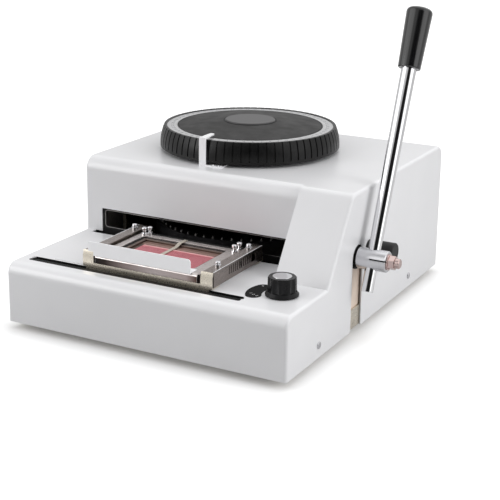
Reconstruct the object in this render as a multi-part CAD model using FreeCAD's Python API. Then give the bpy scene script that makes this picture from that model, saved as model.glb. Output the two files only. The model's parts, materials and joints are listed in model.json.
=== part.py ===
"""Metal tag embossing machine, modelled as an assembly of separate pieces.

Millimetres, +Z up, the operator stands on the -Y side and the lever is on the +X side.
Every size below is written from one corner of the casing: x runs from the left wall to the
right wall, y from the front wall to the rear wall, and z is zero at the casing's lower edge.
When the pieces are written out they are moved once, so that the finished origin is the
middle of the footprint at the bottom of the rubber feet.
"""
import FreeCAD, Part
import math
import os
from FreeCAD import Vector

# Casing
CASING_WIDTH = 350.0
CASING_DEPTH = 440.0
TOWER_HEIGHT = 159.4
DECK_HEIGHT = 69.1
SHEET = 1.5
TOWER_FRONT_Y = 154.1
CHEEK_WIDTH = 64.0
SLOPE_FOOT_Y = 96.5
SLOPE_TOP_Y = 157.4
DECK_FRONT_RADIUS = 13.0
TOWER_FRONT_RADIUS = 16.0
CHEEK_TOP_RADIUS = 12.0
TOWER_REAR_RADIUS = 15.0
SIDE_EDGE_RADIUS = 3.5
CUT_OVER = 1.0
CHEEK_OVERLAP = 32.0

# Openings in the casing
BAY_LEFT_X = 22.9
BAY_TOP_RISE = 28.9
SLOT_LEFT_ROOM = 10.0
SLOT_RIGHT_ROOM = 7.5
FRONT_SLOT_Y = 30.5
FRONT_SLOT_WIDTH = 8.0
FRONT_SLOT_CORNER = 3.9
REAR_SLOT_WIDTH = 8.6
SIDE_SLOT_RADIUS = 14.2

# Base plate and feet
BASE_GAP = 0.3
BASE_BOTTOM_Z = 1.0
BASE_THICK = 4.0
BASE_CORNER_RADIUS = 4.0
FLANGE_THICK = 2.0
FLANGE_TOP_Z = 24.3
FOOT_HEIGHT = 9.0
FOOT_TOP_RADIUS = 13.0
FOOT_BOTTOM_RADIUS = 10.5
FOOT_STUD_RADIUS = 2.5
FOOT_INSET_X = 30.0
FOOT_FRONT_Y = 28.7
FOOT_REAR_Y = 372.0
SIDE_SCREW_RADIUS = 2.0
SIDE_SCREW_HEAD_RADIUS = 3.8
SIDE_SCREW_HEAD_HEIGHT = 1.5
SIDE_SCREW_HEAD_ROUND = 0.9
SIDE_SCREW_Z = 14.5
SIDE_SCREW_FRONT_Y = 76.0
SIDE_SCREW_REAR_Y = 336.0
SCREW_HOLE_GAP = 0.15

# Frame plates
PLATE_THICK = 5.0
RIGHT_PLATE_GAP = 4.0
PLATE_SPACING = 41.0
LEFT_PLATE_X = 12.0
PLATE_FRONT_Y = 158.0
LEFT_PLATE_FRONT_Y = 215.0
PLATE_REAR_Y = 400.0
FRAME_TOP_DROP = 9.4
TOP_PLATE_THICK = 4.0
SPACER_RADIUS = 6.0
SPACER_Y_FRONT = 232.0
SPACER_Y_REAR = 380.0
SPACER_Z_LOW = 30.0
SPACER_DROP = 25.0

# Dial and type wheels
DIAL_X = 147.7
DIAL_Y = 297.8
SPINDLE_RADIUS = 10.0
SPINDLE_HOLE_GAP = 2.0
RUNNING_FIT = 0.05
SPINDLE_BOTTOM_Z = 6.0
SPINDLE_KEPT_IN = 4.0
SPINDLE_BUSH_RADIUS = 14.0
SPINDLE_BUSH_FLANGE_RADIUS = 18.0
SPINDLE_BUSH_FLANGE = 3.0
SPINDLE_BUSH_LENGTH = 12.0
DIAL_GAP = 4.3
SKIRT_RADIUS = 111.2
SKIRT_HEIGHT = 25.6
SKIRT_RIM_HEIGHT = 3.0
SKIRT_CROWN = 1.25
SKIRT_TOP_RADIUS = 106.4
SKIRT_WALL = 5.0
SKIRT_WEB_DROP = 9.3
FLUTE_COUNT = 70
FLUTE_WIDTH = 1.8
FLUTE_DEPTH = 1.3
FLUTE_START_DEGREES = 2.1
LIP_INNER_RADIUS = 103.0
RING_INNER_RADIUS = 90.0
RING_SINK = 0.8
RING_THICK = 3.0
FACE_INNER_RADIUS = 31.0
FACE_RISE = 6.1
DISC_RISE = 1.4
DISC_EDGE = 1.0
DIAL_HUB_RADIUS = 18.0
WHEEL_RADIUS = 118.0
RIM_WIDTH = 14.0
WHEEL_HUB_RADIUS = 20.0
WEB_THICK = 6.0
LOWER_PUNCH_OUT = 1.5
LOWER_TIP_OUT = 2.5
UPPER_TIP_IN = 1.5
UPPER_PUNCH_OUT = 3.5
HUB_LENGTH_OUT = 6.0
PUNCH_COUNT = 60
PUNCH_CIRCLE_RADIUS = 112.0
PUNCH_RADIUS = 2.5
PUNCH_TIP_RADIUS = 1.6
PUNCH_TIP_LENGTH = 2.0
PUNCH_TIP_RISE = 6.4
THROAT_HEIGHT = 20.0
UPPER_PUNCH_GAP = 10.0
LOWER_PUNCH_GAP = 12.4
DETENT_WHEEL_RADIUS = 60.0
DETENT_WHEEL_DROP = 23.0
DETENT_WHEEL_THICK = 8.0
DETENT_NOSE_RADIUS = 2.5
DETENT_NOSE_OUT = 1.0
DETENT_GAP = 0.3
DETENT_PIVOT_RIGHT = 66.3
DETENT_PIVOT_BACK = 62.2
DETENT_PIN_RADIUS = 3.0
DETENT_POST_RADIUS = 6.0
DETENT_ARM_THICK = 3.0
DETENT_ARM_HALF_WIDTH = 6.0
DETENT_ARM_LIFT = 0.5

# Pointer
POINTER_LEFT_OUT = 7.3
POINTER_WIDTH = 8.8
POINTER_FRONT_OUT = 113.2
POINTER_THICK = 1.5
POINTER_ARM_RISE = 4.5
POINTER_TIP_OUT = 85.6
POINTER_TIP_LEFT = 1.6
POINTER_TIP_WIDTH = 5.6
POINTER_TIP_ROUND = 2.4
POINTER_FOOT_RIGHT = 22.6
POINTER_FOOT_REAR_OUT = 92.8
POINTER_SCREW_RIGHT = (11.8, 18.9)
POINTER_SCREW_OUT = 109.6
POINTER_SCREW_RADIUS = 1.5
POINTER_SCREW_HEAD_RADIUS = 2.6
POINTER_SCREW_HEAD_HEIGHT = 1.3
POINTER_SCREW_LENGTH = 5.0

# Lever, its shaft and its stop
LEVER_Y = 174.0
LEVER_LEAN = 22.7
HUB_RADIUS = 12.0
HUB_GAP = 0.8
HUB_LENGTH = 35.4
HUB_EDGE = 1.0
COLLAR_RADIUS = 12.3
COLLAR_THICK = 1.6
ROD_INSET = 17.0
ROD_TAIL = 36.2
ROD_TAIL_RADIUS = 6.75
ROD_TOP_RADIUS = 8.9
ROD_END = 262.0
GRIP_START = 216.0
GRIP_END = 285.0
GRIP_LOW_RADIUS = 12.7
GRIP_HIGH_RADIUS = 14.85
GRIP_TOP_ROUND = 5.0
GRIP_LOW_ROUND = 1.5
SHAFT_RADIUS = 8.0
SHAFT_END_OUT = 5.5
SHAFT_IN_HUB = 8.2
BUSH_RADIUS = 12.0
BUSH_FLANGE_RADIUS = 13.6
BUSH_FLANGE = 3.4
CLAMP_SLIT = 1.6
CLAMP_SLIT_ANGLE = 17.0
BOLT_RADIUS = 4.0
BOLT_HEAD_ACROSS = 14.0
BOLT_HEAD_HEIGHT = 6.8
BOLT_COLLAR_RADIUS = 9.0
BOLT_COLLAR_THICK = 1.5
BOLT_TIP_RADIUS = 5.6
BOLT_TIP_LENGTH = 5.5
BOLT_TIP_EDGE = 1.0
HEX_SIDES = 6
STOP_Y = 205.0
STOP_RISE = 1.2
STOP_RADIUS = 11.0
STOP_LENGTH = 31.8
STOP_STUD_RADIUS = 3.0
STOP_EDGE = 1.0
SPRING_WIRE_RADIUS = 0.9
SPRING_COIL_RADIUS = 11.5
SPRING_PITCH = 2.3
SPRING_TURNS = 4
SPRING_SEAT_GAP = 0.1

# Press arms, their pivots and the cam between them
ARM_PIVOT_INSET = 17.0
LOWER_PIVOT_RISE = 20.6
ARM_HALF_HEIGHT = 7.0
ARM_TIP_OUT = 9.7
ARM_Y = 186.0
ARM_HALF_WIDTH = 8.0
ARM_STROKE_DEGREES = 3.388
LEVER_STROKE_DEGREES = 77.0
LEVER_BACK_DEGREES = 27.0
PAD_RADIUS = 5.0
PAD_LENGTH = 3.5
PIVOT_PIN_RADIUS = 4.0
LUG_THICK = 5.0
LUG_GAP = 1.0
LUG_HALF_HEIGHT = 9.0
LUG_REACH = 26.0
LUG_FOOT = 4.0
LUG_FOOT_WIDTH = 12.0
ARM_WINDOW_GAP = 2.0
ARM_SWING_ROOM = 5.0
CAM_INSET = 20.0
CAM_WIDTH = 8.0
CAM_HUB_RADIUS = 14.0
CAM_MARGIN_DEGREES = 8.0
CAM_POINT_DEGREES = 6
ROLLER_RADIUS = 8.0
ROLLER_WIDTH = 13.0
ROLLER_PIN_RADIUS = 3.0
ROLLER_GAP = 0.5
ROLLER_ARM_GAP = 5.2
FORK_THICK = 5.0
FORK_SIDE_GAP = 1.8
FORK_BELOW_PIN = 6.0
FORK_FRONT_Y = 166.0

# Carriage that slides sideways
BRACKET_LEFT_X = 81.0
BRACKET_RIGHT_X = 245.5
BRACKET_FRONT_Y = 32.4
BRACKET_THICK = 1.5
BRACKET_STRIP_RISE = 5.9
BRACKET_LIFT = 1.0
EAR_WIDTH = 14.2
EAR_BEND_RISE = 12.9
EAR_TOP_RISE = 19.4
EAR_TILT = 16.0
TONGUE_INSET = 4.0
TONGUE_DROP = 10.0
TAB_THICK = 1.2
TAB_LENGTH = 16.0
REAR_BRACKET_Y = 147.0
BAR_WIDTH = 13.0
BAR_TOP_RISE = 19.3
BAR_FRONT_Y = 36.4
BAR_REAR_Y = 146.7
BAR_SIDE_STEP = 0.2
BAR_EDGE = 0.6
GROOVE_DEPTH = 4.0
GROOVE_GAP = 0.4
RACK_START_Y = 70.0
RACK_PITCH = 4.5
RACK_TEETH = 14
RACK_SLOT = 1.7
RACK_DEPTH = 1.4
RACK_LOW_RISE = 7.4
RACK_HIGH_RISE = 16.9
RAIL_RADIUS = 5.0
RAIL_DROP = 21.1
RAIL_LEFT_X = 6.0
RAIL_RIGHT_INSET = 46.0
RAIL_BLOCK_WIDTH = 14.0
RAIL_BLOCK_HALF_DEPTH = 8.0
RAIL_BLOCK_RISE = 10.0
SLIDER_WIDTH = 20.0
SLIDER_HALF_DEPTH = 8.1
SLIDER_HALF_HEIGHT = 10.0
SLIDER_INSET = 7.0
CARRIAGE_LEFT = 62.0
CARRIAGE_RIGHT_GAP = 4.5

# Tag holder that slides to and fro in the carriage
HOLDER_LEFT_X = 97.0
HOLDER_RIGHT_X = 230.5
HOLDER_TOP_RISE = 16.4
HOLDER_SHEET = 1.5
HOLDER_FRONT_Y = 29.9
HOLDER_REAR_Y = 131.0
HOLDER_BEND = 3.5
HOLDER_FLANGE_RISE = 7.3
HOLDER_FLANGE_INSET = 2.0
HOLDER_CORNER = 7.0
WINDOW_LEFT_X = 106.5
WINDOW_RIGHT_X = 216.0
WINDOW_FRONT_Y = 44.0
WINDOW_REAR_Y = 118.5
WINDOW_CORNER = 5.0
RUNNER_THICK = 1.5
RUNNER_FOOT = 2.9
RUNNER_RISE = 8.2
RUNNER_KEPT_IN = 8.7
RUNNER_REAR_Y = 128.0
RUNNER_INSET = 1.0
TRAY_DEPTH = 3.5
TRAY_POCKET = 2.0
TRAY_MARGIN_X = 2.0
TRAY_FRONT_Y = 38.0
TRAY_REAR_Y = 126.0
POCKET_LEFT_X = 113.5
POCKET_RIGHT_X = 218.5
POCKET_FRONT_Y = 44.0
POCKET_REAR_Y = 111.0
TAG_LEFT_X = 120.0
TAG_RIGHT_X = 216.5
TAG_FRONT_Y = 50.0
TAG_REAR_Y = 97.0
TAG_THICK = 1.0
TAG_CORNER = 3.0
TAG_LEDGE = 2.5
HANDLE_HORN_X = 91.0
HANDLE_LEFT_X = 98.0
HANDLE_FOOT_LEFT_X = 104.5
HANDLE_RIGHT_X = 221.5
HANDLE_HEIGHT = 15.4
HANDLE_LIP = 0.6
HANDLE_HORN_LIFT = 1.1
HANDLE_SHEET = 1.2
HANDLE_CORNER = 3.5
HANDLE_HORN_CORNER = 1.0
HANDLE_FRONT_GAP = 0.3
HANDLE_FOOT_REAR_Y = 42.0
CLIP_X = 157.5
CLIP_WIDTH = 5.0
CLIP_SHEET = 0.8
CLIP_REAR_Y = 127.0
CLIP_KNEE_Y = 112.0
CLIP_HEEL_Y = 104.0
CLIP_TIP_Y = 75.0
HOLDER_STUDS = ((103.7, 123.0), (108.0, 128.0), (225.8, 117.0), (226.5, 127.5))
CARRIAGE_STUDS = ((86.5, 129.0), (238.0, 128.0), (238.0, 58.0))
STUD_TOP_RISE = 24.9
STUD_HEAD_RADIUS = 3.1
STUD_HEAD_HEIGHT = 3.6
STUD_HEAD_EDGE = 1.1
STUD_NECK_RADIUS = 1.9
STUD_NUT_RADIUS = 3.6
STUD_NUT_HEIGHT = 1.8
STUD_DEPTH = 1.4
HOLDER_TRAVEL = 96.0

# Deck plate, inner shroud, selector knob and its label
DECK_PLATE_LEFT_X = 37.8
DECK_PLATE_KNOB_GAP = 70.3
DECK_PLATE_FRONT_Y = 36.9
DECK_PLATE_REAR_Y = 144.0
DECK_PLATE_THICK = 0.7
DECK_PLATE_CORNER = 3.5
SHROUD_THICK = 1.0
SHROUD_LEFT_X = 6.0
SHROUD_RIGHT_GAP = 2.0
SHROUD_BOTTOM_DROP = 9.1
SHROUD_TOP_RISE = 60.9
SHROUD_WINDOW_GAP = 1.7
SHROUD_WINDOW_RISE = 5.9
SHROUD_WINDOW_HEIGHT = 21.4
SHROUD_WINDOW_CORNER = 3.5
KNOB_INSET = 35.7
KNOB_Y = 59.0
KNOB_LIFT = 0.8
KNOB_SKIRT_RADIUS = 18.0
KNOB_SKIRT_HEIGHT = 4.5
KNOB_RIM_HEIGHT = 1.5
KNOB_BODY_RADIUS = 15.6
KNOB_BODY_TOP_RADIUS = 15.2
KNOB_HEIGHT = 20.1
KNOB_CAP_RADIUS = 10.2
KNOB_CAP_THICK = 1.5
KNOB_CAP_PROUD = 0.5
KNOB_FLUTES = 10
KNOB_FLUTE_RADIUS = 10.7
KNOB_FLUTE_OUT = 9.5
KNOB_EDGE = 1.0
KNOB_STEM_RADIUS = 3.0
KNOB_STEM_DROP = 17.1
KNOB_STEM_GAP = 0.3
LABEL_THICK = 0.4
LABEL_MEAN_RADIUS = 30.0
LABEL_HALF_WIDTH = 8.6
LABEL_START = 157.0
LABEL_END = 209.0

# Places worked out from the sizes above
CHEEK_X = CASING_WIDTH - CHEEK_WIDTH
BAY_RIGHT_X = CHEEK_X
BAY_TOP_Z = DECK_HEIGHT + BAY_TOP_RISE
BASE_TOP_Z = BASE_BOTTOM_Z + BASE_THICK
BASE_EDGE = SHEET + BASE_GAP
FRAME_TOP_Z = TOWER_HEIGHT - FRAME_TOP_DROP
SPACER_Z_HIGH = FRAME_TOP_Z - SPACER_DROP
RIGHT_PLATE_X = CASING_WIDTH - RIGHT_PLATE_GAP - PLATE_THICK
INNER_PLATE_X = RIGHT_PLATE_X - PLATE_SPACING
SKIRT_BOTTOM_Z = TOWER_HEIGHT + DIAL_GAP
SKIRT_TOP_Z = SKIRT_BOTTOM_Z + SKIRT_HEIGHT
SKIRT_WEB_BOTTOM_Z = SKIRT_TOP_Z - SKIRT_WEB_DROP
RING_TOP_Z = SKIRT_TOP_Z - RING_SINK
FACE_TOP_Z = RING_TOP_Z + FACE_RISE
DISC_TOP_Z = FACE_TOP_Z + DISC_RISE
SPINDLE_TOP_Z = SKIRT_WEB_BOTTOM_Z + SPINDLE_KEPT_IN
POINTER_LEFT_X = DIAL_X - POINTER_LEFT_OUT
POINTER_FOOT_RIGHT_X = DIAL_X + POINTER_FOOT_RIGHT
POINTER_FRONT_Y = DIAL_Y - POINTER_FRONT_OUT
POINTER_TIP_Y = DIAL_Y - POINTER_TIP_OUT
POINTER_FOOT_REAR_Y = DIAL_Y - POINTER_FOOT_REAR_OUT
POINTER_SCREW_X = [DIAL_X + right for right in POINTER_SCREW_RIGHT]
POINTER_SCREW_Y = DIAL_Y - POINTER_SCREW_OUT
POINTER_ARM_TOP_Z = RING_TOP_Z + POINTER_ARM_RISE
UPPER_PIVOT_Z = FRAME_TOP_Z - ARM_HALF_HEIGHT
LOWER_PIVOT_Z = BASE_TOP_Z + LOWER_PIVOT_RISE
LEVER_Z = (UPPER_PIVOT_Z + LOWER_PIVOT_Z) / 2
ARM_PIVOT_RISE = UPPER_PIVOT_Z - LEVER_Z
ARM_PIVOT_X = INNER_PLATE_X - ARM_PIVOT_INSET
ARM_TIP_X = DIAL_X - ARM_TIP_OUT
ARM_REACH_Z = ARM_HALF_HEIGHT + PAD_LENGTH
STOP_Z = LEVER_Z + STOP_RISE
HUB_START_X = CASING_WIDTH + HUB_GAP
HUB_END_X = HUB_START_X + HUB_LENGTH
ROD_X = HUB_START_X + ROD_INSET
SHAFT_LEFT_X = INNER_PLATE_X - SHAFT_END_OUT
SHAFT_RIGHT_X = HUB_START_X + SHAFT_IN_HUB
CAM_X = INNER_PLATE_X + CAM_INSET
ROLLER_OFFSET = ARM_PIVOT_RISE - ARM_HALF_HEIGHT - ROLLER_ARM_GAP - ROLLER_RADIUS
CAM_RADIUS = ROLLER_OFFSET - ROLLER_RADIUS - ROLLER_GAP
LOWER_PUNCH_TIP_Z = DECK_HEIGHT + PUNCH_TIP_RISE
LOWER_PUNCH_END_Z = LOWER_PIVOT_Z + ARM_REACH_Z + LOWER_PUNCH_GAP
UPPER_PUNCH_TIP_Z = LOWER_PUNCH_TIP_Z + THROAT_HEIGHT
UPPER_PUNCH_END_Z = UPPER_PIVOT_Z - ARM_REACH_Z - UPPER_PUNCH_GAP
LOWER_WHEEL_BOTTOM_Z = LOWER_PUNCH_END_Z + LOWER_PUNCH_OUT
LOWER_WHEEL_TOP_Z = LOWER_PUNCH_TIP_Z - LOWER_TIP_OUT
UPPER_WHEEL_BOTTOM_Z = UPPER_PUNCH_TIP_Z + UPPER_TIP_IN
UPPER_WHEEL_TOP_Z = UPPER_PUNCH_END_Z - UPPER_PUNCH_OUT
DETENT_WHEEL_BOTTOM_Z = LOWER_WHEEL_BOTTOM_Z - DETENT_WHEEL_DROP
DETENT_PIVOT_X = DIAL_X + DETENT_PIVOT_RIGHT
DETENT_PIVOT_Y = DIAL_Y + DETENT_PIVOT_BACK
RAIL_Z = DECK_HEIGHT - RAIL_DROP
RAIL_RIGHT_X = CASING_WIDTH - RAIL_RIGHT_INSET
RAIL_BLOCK_TOP_Z = RAIL_Z + RAIL_BLOCK_RISE
SLIDER_TOP_Z = RAIL_Z + SLIDER_HALF_HEIGHT
TONGUE_BOTTOM_Z = RAIL_Z - TONGUE_DROP
CARRIAGE_RIGHT = CHEEK_X - BRACKET_RIGHT_X - CARRIAGE_RIGHT_GAP
BRACKET_STRIP_TOP_Z = DECK_HEIGHT + BRACKET_STRIP_RISE
EAR_BEND_Z = DECK_HEIGHT + EAR_BEND_RISE
EAR_TOP_Z = DECK_HEIGHT + EAR_TOP_RISE
BAR_TOP_Z = DECK_HEIGHT + BAR_TOP_RISE
RACK_LOW_Z = DECK_HEIGHT + RACK_LOW_RISE
RACK_HIGH_Z = DECK_HEIGHT + RACK_HIGH_RISE
RUNNER_BOTTOM_Z = DECK_HEIGHT + RUNNER_RISE
HOLDER_TOP_Z = DECK_HEIGHT + HOLDER_TOP_RISE
HOLDER_FLANGE_BOTTOM_Z = DECK_HEIGHT + HOLDER_FLANGE_RISE
HANDLE_TOP_Z = HOLDER_TOP_Z + HANDLE_HEIGHT
STUD_TOP_Z = DECK_HEIGHT + STUD_TOP_RISE
ARM_RATIO = ARM_STROKE_DEGREES / LEVER_STROKE_DEGREES
CAM_RISE_PER_DEGREE = (CAM_X - ARM_PIVOT_X) * math.radians(ARM_RATIO)
BOLT_END_X = HUB_END_X + BOLT_COLLAR_THICK + BOLT_HEAD_HEIGHT + BOLT_TIP_LENGTH
BRACKET_BACK_Y = BRACKET_FRONT_Y + BRACKET_THICK
FRONT_RAIL_Y = BRACKET_BACK_Y + SLIDER_HALF_DEPTH
REAR_RAIL_Y = REAR_BRACKET_Y - SLIDER_HALF_DEPTH
BRACKET_SEAT_Z = DECK_HEIGHT + BRACKET_LIFT
TAB_TOP_Z = BRACKET_SEAT_Z + TAB_THICK
LEFT_BAR_X = BRACKET_LEFT_X + BAR_SIDE_STEP
RIGHT_BAR_X = BRACKET_RIGHT_X - BAR_SIDE_STEP - BAR_WIDTH
HOLDER_UNDER_Z = HOLDER_TOP_Z - HOLDER_SHEET
TRAY_BOTTOM_Z = HOLDER_UNDER_Z - TRAY_DEPTH
POCKET_Z = HOLDER_UNDER_Z - TRAY_POCKET
TAG_TOP_Z = POCKET_Z + TAG_THICK
SPINDLE_BUSH_LOWER_Z = BASE_TOP_Z
TOP_PLATE_TOP_Z = FRAME_TOP_Z + TOP_PLATE_THICK
SHROUD_RIGHT_X = CHEEK_X - SHROUD_RIGHT_GAP
SHROUD_BOTTOM_Z = DECK_HEIGHT - SHROUD_BOTTOM_DROP
SHROUD_TOP_Z = DECK_HEIGHT + SHROUD_TOP_RISE
SHROUD_WINDOW_BOTTOM_Z = DECK_HEIGHT + SHROUD_WINDOW_RISE
SHROUD_WINDOW_TOP_Z = SHROUD_WINDOW_BOTTOM_Z + SHROUD_WINDOW_HEIGHT
KNOB_X = CASING_WIDTH - KNOB_INSET
DECK_PLATE_RIGHT_X = KNOB_X - DECK_PLATE_KNOB_GAP
KNOB_BOTTOM_Z = DECK_HEIGHT + KNOB_LIFT
KNOB_TOP_Z = KNOB_BOTTOM_Z + KNOB_HEIGHT
KNOB_STEM_BOTTOM_Z = DECK_HEIGHT - KNOB_STEM_DROP
CAP_SEAT_Z = KNOB_TOP_Z - KNOB_CAP_THICK + KNOB_CAP_PROUD
FRONT_SLOT_LEFT_X = BRACKET_LEFT_X + TONGUE_INSET - CARRIAGE_LEFT - SLOT_LEFT_ROOM
FRONT_SLOT_RIGHT_X = BRACKET_RIGHT_X - TONGUE_INSET + CARRIAGE_RIGHT + SLOT_RIGHT_ROOM
RUNNER_REACH = GROOVE_DEPTH - GROOVE_GAP
RUNNER_LEFT_X = LEFT_BAR_X + BAR_WIDTH - RUNNER_REACH
RUNNER_RIGHT_X = RIGHT_BAR_X + RUNNER_REACH
RUNNER_FRONT_Y = BAR_REAR_Y - HOLDER_TRAVEL - RUNNER_KEPT_IN
SHROUD_WINDOW_LEFT_X = RUNNER_LEFT_X - CARRIAGE_LEFT - SHROUD_WINDOW_GAP
SHROUD_WINDOW_RIGHT_X = RUNNER_RIGHT_X + CARRIAGE_RIGHT + SHROUD_WINDOW_GAP
LEFT_REACH = SIDE_SCREW_HEAD_HEIGHT
SIDE_SCREW_LENGTH = SHEET + BASE_GAP + FLANGE_THICK
SPRING_LENGTH = SPRING_PITCH * SPRING_TURNS
SPRING_START_X = RIGHT_PLATE_X - SPRING_SEAT_GAP - SPRING_WIRE_RADIUS - SPRING_LENGTH

# The one move from the casing's corner to the finished origin
ORIGIN_X = (BOLT_END_X - LEFT_REACH) / 2
ORIGIN_Y = CASING_DEPTH / 2
ORIGIN_Z = -FOOT_HEIGHT


def box(x0, x1, y0, y1, z0, z1):
    """A block between two corners."""
    return Part.makeBox(x1 - x0, y1 - y0, z1 - z0, Vector(x0, y0, z0))


def bar_x(x0, x1, y, z, radius):
    """A round bar along X."""
    return Part.makeCylinder(radius, x1 - x0, Vector(x0, y, z), Vector(1, 0, 0))


def bar_y(y0, y1, x, z, radius):
    """A round bar along Y."""
    return Part.makeCylinder(radius, y1 - y0, Vector(x, y0, z), Vector(0, 1, 0))


def bar_z(z0, z1, x, y, radius):
    """A round bar along Z."""
    return Part.makeCylinder(radius, z1 - z0, Vector(x, y, z0), Vector(0, 0, 1))


def rounded_wire(corners):
    """A closed wire through corners, each (point, radius), with an arc where the radius isn't 0."""
    starts = []
    ends = []
    middles = []
    count = len(corners)
    for index in range(count):
        point, radius = corners[index]
        before = corners[index - 1][0]
        after = corners[(index + 1) % count][0]
        arrive = (point - before).normalize()
        leave = (after - point).normalize()
        half_turn = arrive.getAngle(leave) / 2
        reach = radius * math.tan(half_turn)
        starts.append(point - arrive * reach)
        ends.append(point + leave * reach)
        inward = leave - arrive
        if radius > 0:
            inward.normalize()
            middles.append(point + inward * (radius / math.cos(half_turn) - radius))
        else:
            middles.append(None)
    edges = []
    for index in range(count):
        if middles[index] is not None:
            edges.append(Part.Arc(starts[index], middles[index], ends[index]).toShape())
        following = (index + 1) % count
        edges.append(Part.LineSegment(ends[index], starts[following]).toShape())
    return Part.Wire(edges)


def prism_x(corners, x0, x1):
    """A prism along X from corners given as (y, z, radius)."""
    points = [(Vector(x0, y, z), radius) for y, z, radius in corners]
    return Part.Face(rounded_wire(points)).extrude(Vector(x1 - x0, 0, 0))


def prism_y(corners, y0, y1):
    """A prism along Y from corners given as (x, z, radius)."""
    points = [(Vector(x, y0, z), radius) for x, z, radius in corners]
    return Part.Face(rounded_wire(points)).extrude(Vector(0, y1 - y0, 0))


def prism_z(corners, z0, z1):
    """A prism along Z from corners given as (x, y, radius)."""
    points = [(Vector(x, y, z0), radius) for x, y, radius in corners]
    return Part.Face(rounded_wire(points)).extrude(Vector(0, 0, z1 - z0))


def rounded_block_z(x0, x1, y0, y1, z0, z1, radius):
    """A block with its upright corners rounded."""
    return prism_z([(x0, y0, radius), (x1, y0, radius), (x1, y1, radius), (x0, y1, radius)], z0, z1)


def turned(points, x, y):
    """A solid turned about an upright axis from points given as (radius, z)."""
    outline = [Vector(x + radius, y, z) for radius, z in points]
    face = Part.Face(Part.makePolygon(outline + [outline[0]]))
    return face.revolve(Vector(x, y, 0), Vector(0, 0, 1), 360)


def ring_z(z0, z1, x, y, outer, inner):
    """A flat ring."""
    return bar_z(z0, z1, x, y, outer).cut(bar_z(z0 - CUT_OVER, z1 + CUT_OVER, x, y, inner))


def on_circle(count, radius, x, y):
    """Evenly spaced places on a circle, the first one in front of the centre."""
    places = []
    for index in range(count):
        angle = math.radians(360.0 * index / count)
        places.append((x + radius * math.sin(angle), y - radius * math.cos(angle)))
    return places


def slope_y(z, inset):
    """Where the sloping cheek edge is at a height, moved in by the sheet when it is the inside."""
    run = SLOPE_TOP_Y - SLOPE_FOOT_Y
    rise = TOWER_HEIGHT - DECK_HEIGHT
    return SLOPE_FOOT_Y + (z - DECK_HEIGHT) * run / rise + inset * math.hypot(run, rise) / rise


def casing_form(inset, bottom_z):
    """The casing's outer form, or its inside when inset is the sheet thickness."""
    front = inset
    rear = CASING_DEPTH - inset
    deck = DECK_HEIGHT - inset
    top = TOWER_HEIGHT - inset
    wall = TOWER_FRONT_Y + inset
    body = prism_x(
        [
            (front, bottom_z, 0),
            (front, deck, DECK_FRONT_RADIUS - inset),
            (wall, deck, 0),
            (wall, top, TOWER_FRONT_RADIUS - inset),
            (rear, top, TOWER_REAR_RADIUS - inset),
            (rear, bottom_z, 0),
        ],
        inset,
        CASING_WIDTH - inset,
    )
    low = deck - CHEEK_TOP_RADIUS
    behind = wall + CHEEK_OVERLAP
    cheek = prism_x(
        [
            (slope_y(low, inset), low, 0),
            (slope_y(top, inset), top, CHEEK_TOP_RADIUS - inset),
            (behind, top, 0),
            (behind, low, 0),
        ],
        CHEEK_X + inset,
        CASING_WIDTH - inset,
    )
    form = body.fuse(cheek).removeSplitter()
    return form.makeFillet(SIDE_EDGE_RADIUS - inset, side_edges(form, inset, bottom_z))


def side_edges(form, inset, bottom_z):
    """The edges round both side faces, apart from the bottom ones."""
    found = []
    for edge in form.Edges:
        limits = edge.BoundBox
        flat = limits.XLength < 1e-6
        at_side = min(abs(limits.XMin - inset), abs(limits.XMin - (CASING_WIDTH - inset))) < 1e-6
        if flat and at_side and limits.ZMax > bottom_z + 1e-6:
            found.append(edge)
    return found


def through_top(x, y, radius):
    """A cutter for a round hole in the casing's top sheet."""
    return bar_z(TOWER_HEIGHT - SHEET - CUT_OVER, TOWER_HEIGHT + CUT_OVER, x, y, radius)


def through_right_wall(y, z, radius):
    """A cutter for a round hole in the casing's right wall."""
    return bar_x(CASING_WIDTH - SHEET - CUT_OVER, CASING_WIDTH + CUT_OVER, y, z, radius)


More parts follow.
